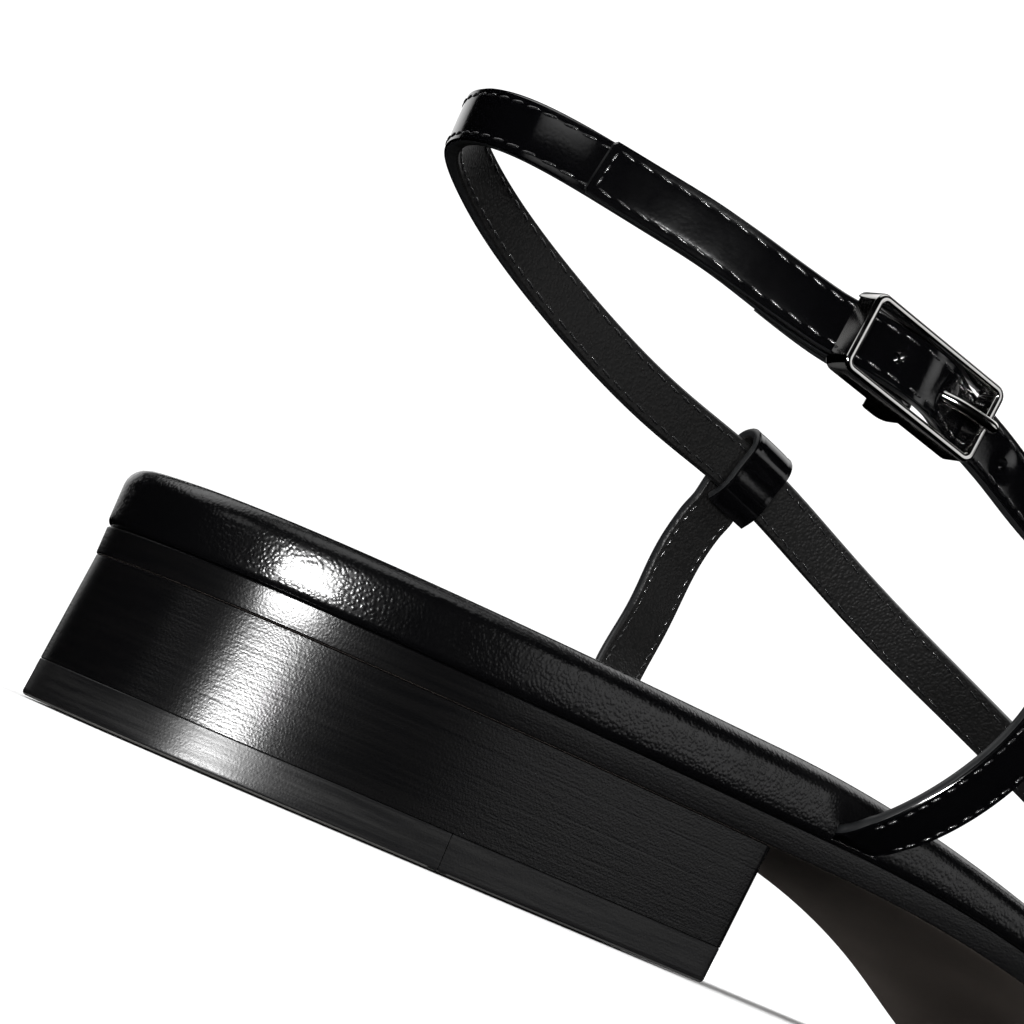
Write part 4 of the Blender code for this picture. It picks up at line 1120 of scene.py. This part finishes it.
ring = BAR_RADIUS + GAP + PRONG_RADIUS
curl = tuple((ring * math.cos(a), ring * math.sin(a)) for a in np.radians(np.arange(8, -262, -9)))
pin = flat_run(curl + PRONG_ROWS, BUCKLE_AT, buckle_t, buckle_n, buckle_w)
pin = smooth(pin[::2], 0.25)
places, ahead, wide, out = frames(pin, 1.0)
from_tip = np.linalg.norm(places - places[-1], axis=1)
thinning = np.sqrt(np.clip(1 - (1 - np.clip(from_tip / PRONG_TIP, 0, 1)) ** 2, 0.02, 1))
turn = turns[::2, None]
pin_rings = []
for i in range(len(pin)):
    around = wide[i] * np.cos(turn) + out[i] * np.sin(turn)
    pin_rings.append(places[i] + PRONG_RADIUS * thinning[i] * around)
prong = lay_rings("buckle_prong_polished", pin_rings)
fit(prong, "buckle_prong", "buckle_metal", nickel)

# Studio: a pale floor in a white room, a low bright strip behind the heel that draws the band down it, dim
# softboxes round the shoe, a card for the buckle's rim, and a camera down on the floor, rolled as the shoe
# leans in the picture.
FLOOR_SIZE = 12.0
FLOOR_DROP = 0.0002
ROOM_LIGHT = 1.15
FLOOR_PALE = (0.92, 0.92, 0.92, 1.0)
CAMERA_AT = (-224.4, -370.7, 4.0)
CAMERA_AIM = (39.3, -7.0, 39.5)
CAMERA_ROLL = math.radians(23.2)
CAMERA_LENS = 143.5
CAMERA_SENSOR = 36.0
LIT_SPOT = (60.0, 0.0, 30.0)
SOFT_BORDER = 0.5
SOFTBOXES = (     # name, azimuth from the toe, elevation, distance, width, height in metres, radiance
    ("rear_softbox", -129.0, 0.4, 1.2, 0.56, 0.07, 270.0),
    ("front_fill", -50.0, 6.0, 1.4, 0.9, 0.32, 0.85),
    ("buckle_card", -57.0, 17.5, 1.4, 0.42, 0.34, 0.9),
    ("toe_fill", 16.0, 38.0, 1.4, 1.2, 0.8, 1.2),
    ("inner_low", 46.0, 11.0, 1.4, 1.0, 0.4, 1.3),
    ("inner_side", 72.0, 9.0, 1.4, 0.9, 0.4, 0.9),
    ("inner_fill", 110.0, 50.0, 1.4, 1.6, 1.0, 1.2),
    ("back_fill", -178.0, 20.0, 1.4, 0.8, 0.4, 0.8),
    ("top_light", -80.0, 82.0, 1.5, 1.8, 1.2, 1.0),
)

floor = begin(bpy.ops.mesh.primitive_plane_add, size=FLOOR_SIZE, location=(0, 0, -FLOOR_DROP))
floor.name = "studio_floor"
floor.data.materials.append(new_finish("pale_floor", FLOOR_PALE, 1.0, None, {"Specular IOR Level": 0.0})[0])
floor.visible_glossy = False

look_at = Vector(in_frame(LIT_SPOT))
for name, azimuth, elevation, apart, wide, tall, radiance in SOFTBOXES:
    a, e = math.radians(azimuth), math.radians(elevation)
    away = Vector((math.cos(a) * math.cos(e), math.sin(a) * math.cos(e), math.sin(e)))
    bpy.ops.object.light_add(type="AREA", location=look_at + away * apart)
    softbox = bpy.context.object
    softbox.name = name
    softbox.rotation_euler = away.to_track_quat("Z", "Y").to_euler()
    softbox.visible_camera = False
    light = softbox.data
    light.shape = "RECTANGLE"
    light.size = wide
    light.size_y = tall
    light.energy = radiance * math.pi * wide * tall
    light.use_nodes = True
    lamp = light.node_tree
    spread = lamp.nodes.new("ShaderNodeNewGeometry").outputs["Parametric"]
    across = add_node(lamp, "SeparateXYZ", {"Vector": spread}).outputs
    fade = add_node(lamp, "Math", operation="MULTIPLY")
    for k, axis in enumerate("XY"):
        wave = add_node(lamp, "Math", {0: across[axis], 1: math.pi}, operation="MULTIPLY")
        swell = add_node(lamp, "Math", {0: wave.outputs["Value"]}, operation="SINE")
        lamp.links.new(swell.outputs["Value"], fade.inputs[k])
    border = add_node(lamp, "Math", {0: fade.outputs["Value"], 1: SOFT_BORDER}, operation="POWER")
    lamp.links.new(border.outputs["Value"], lamp.nodes["Emission"].inputs["Strength"])

world = bpy.data.worlds.new("white_room")
bpy.context.scene.world = world
world.use_nodes = True
room = world.node_tree.nodes["Background"].inputs
room["Color"].default_value = (1.0, 1.0, 1.0, 1.0)
room["Strength"].default_value = ROOM_LIGHT
world.cycles_visibility.glossy = False

bpy.ops.object.camera_add(location=in_frame(CAMERA_AT))
camera = bpy.context.object
aim = Vector(in_frame(CAMERA_AIM)) - camera.location
roll = Matrix.Rotation(CAMERA_ROLL, 3, "Z")
camera.rotation_euler = (aim.to_track_quat("-Z", "Y").to_matrix() @ roll).to_euler()
camera.data.lens = CAMERA_LENS
camera.data.sensor_width = CAMERA_SENSOR
camera.data.clip_start = 0.01
bpy.context.scene.camera = camera
bpy.context.scene.view_settings.view_transform = "Standard"
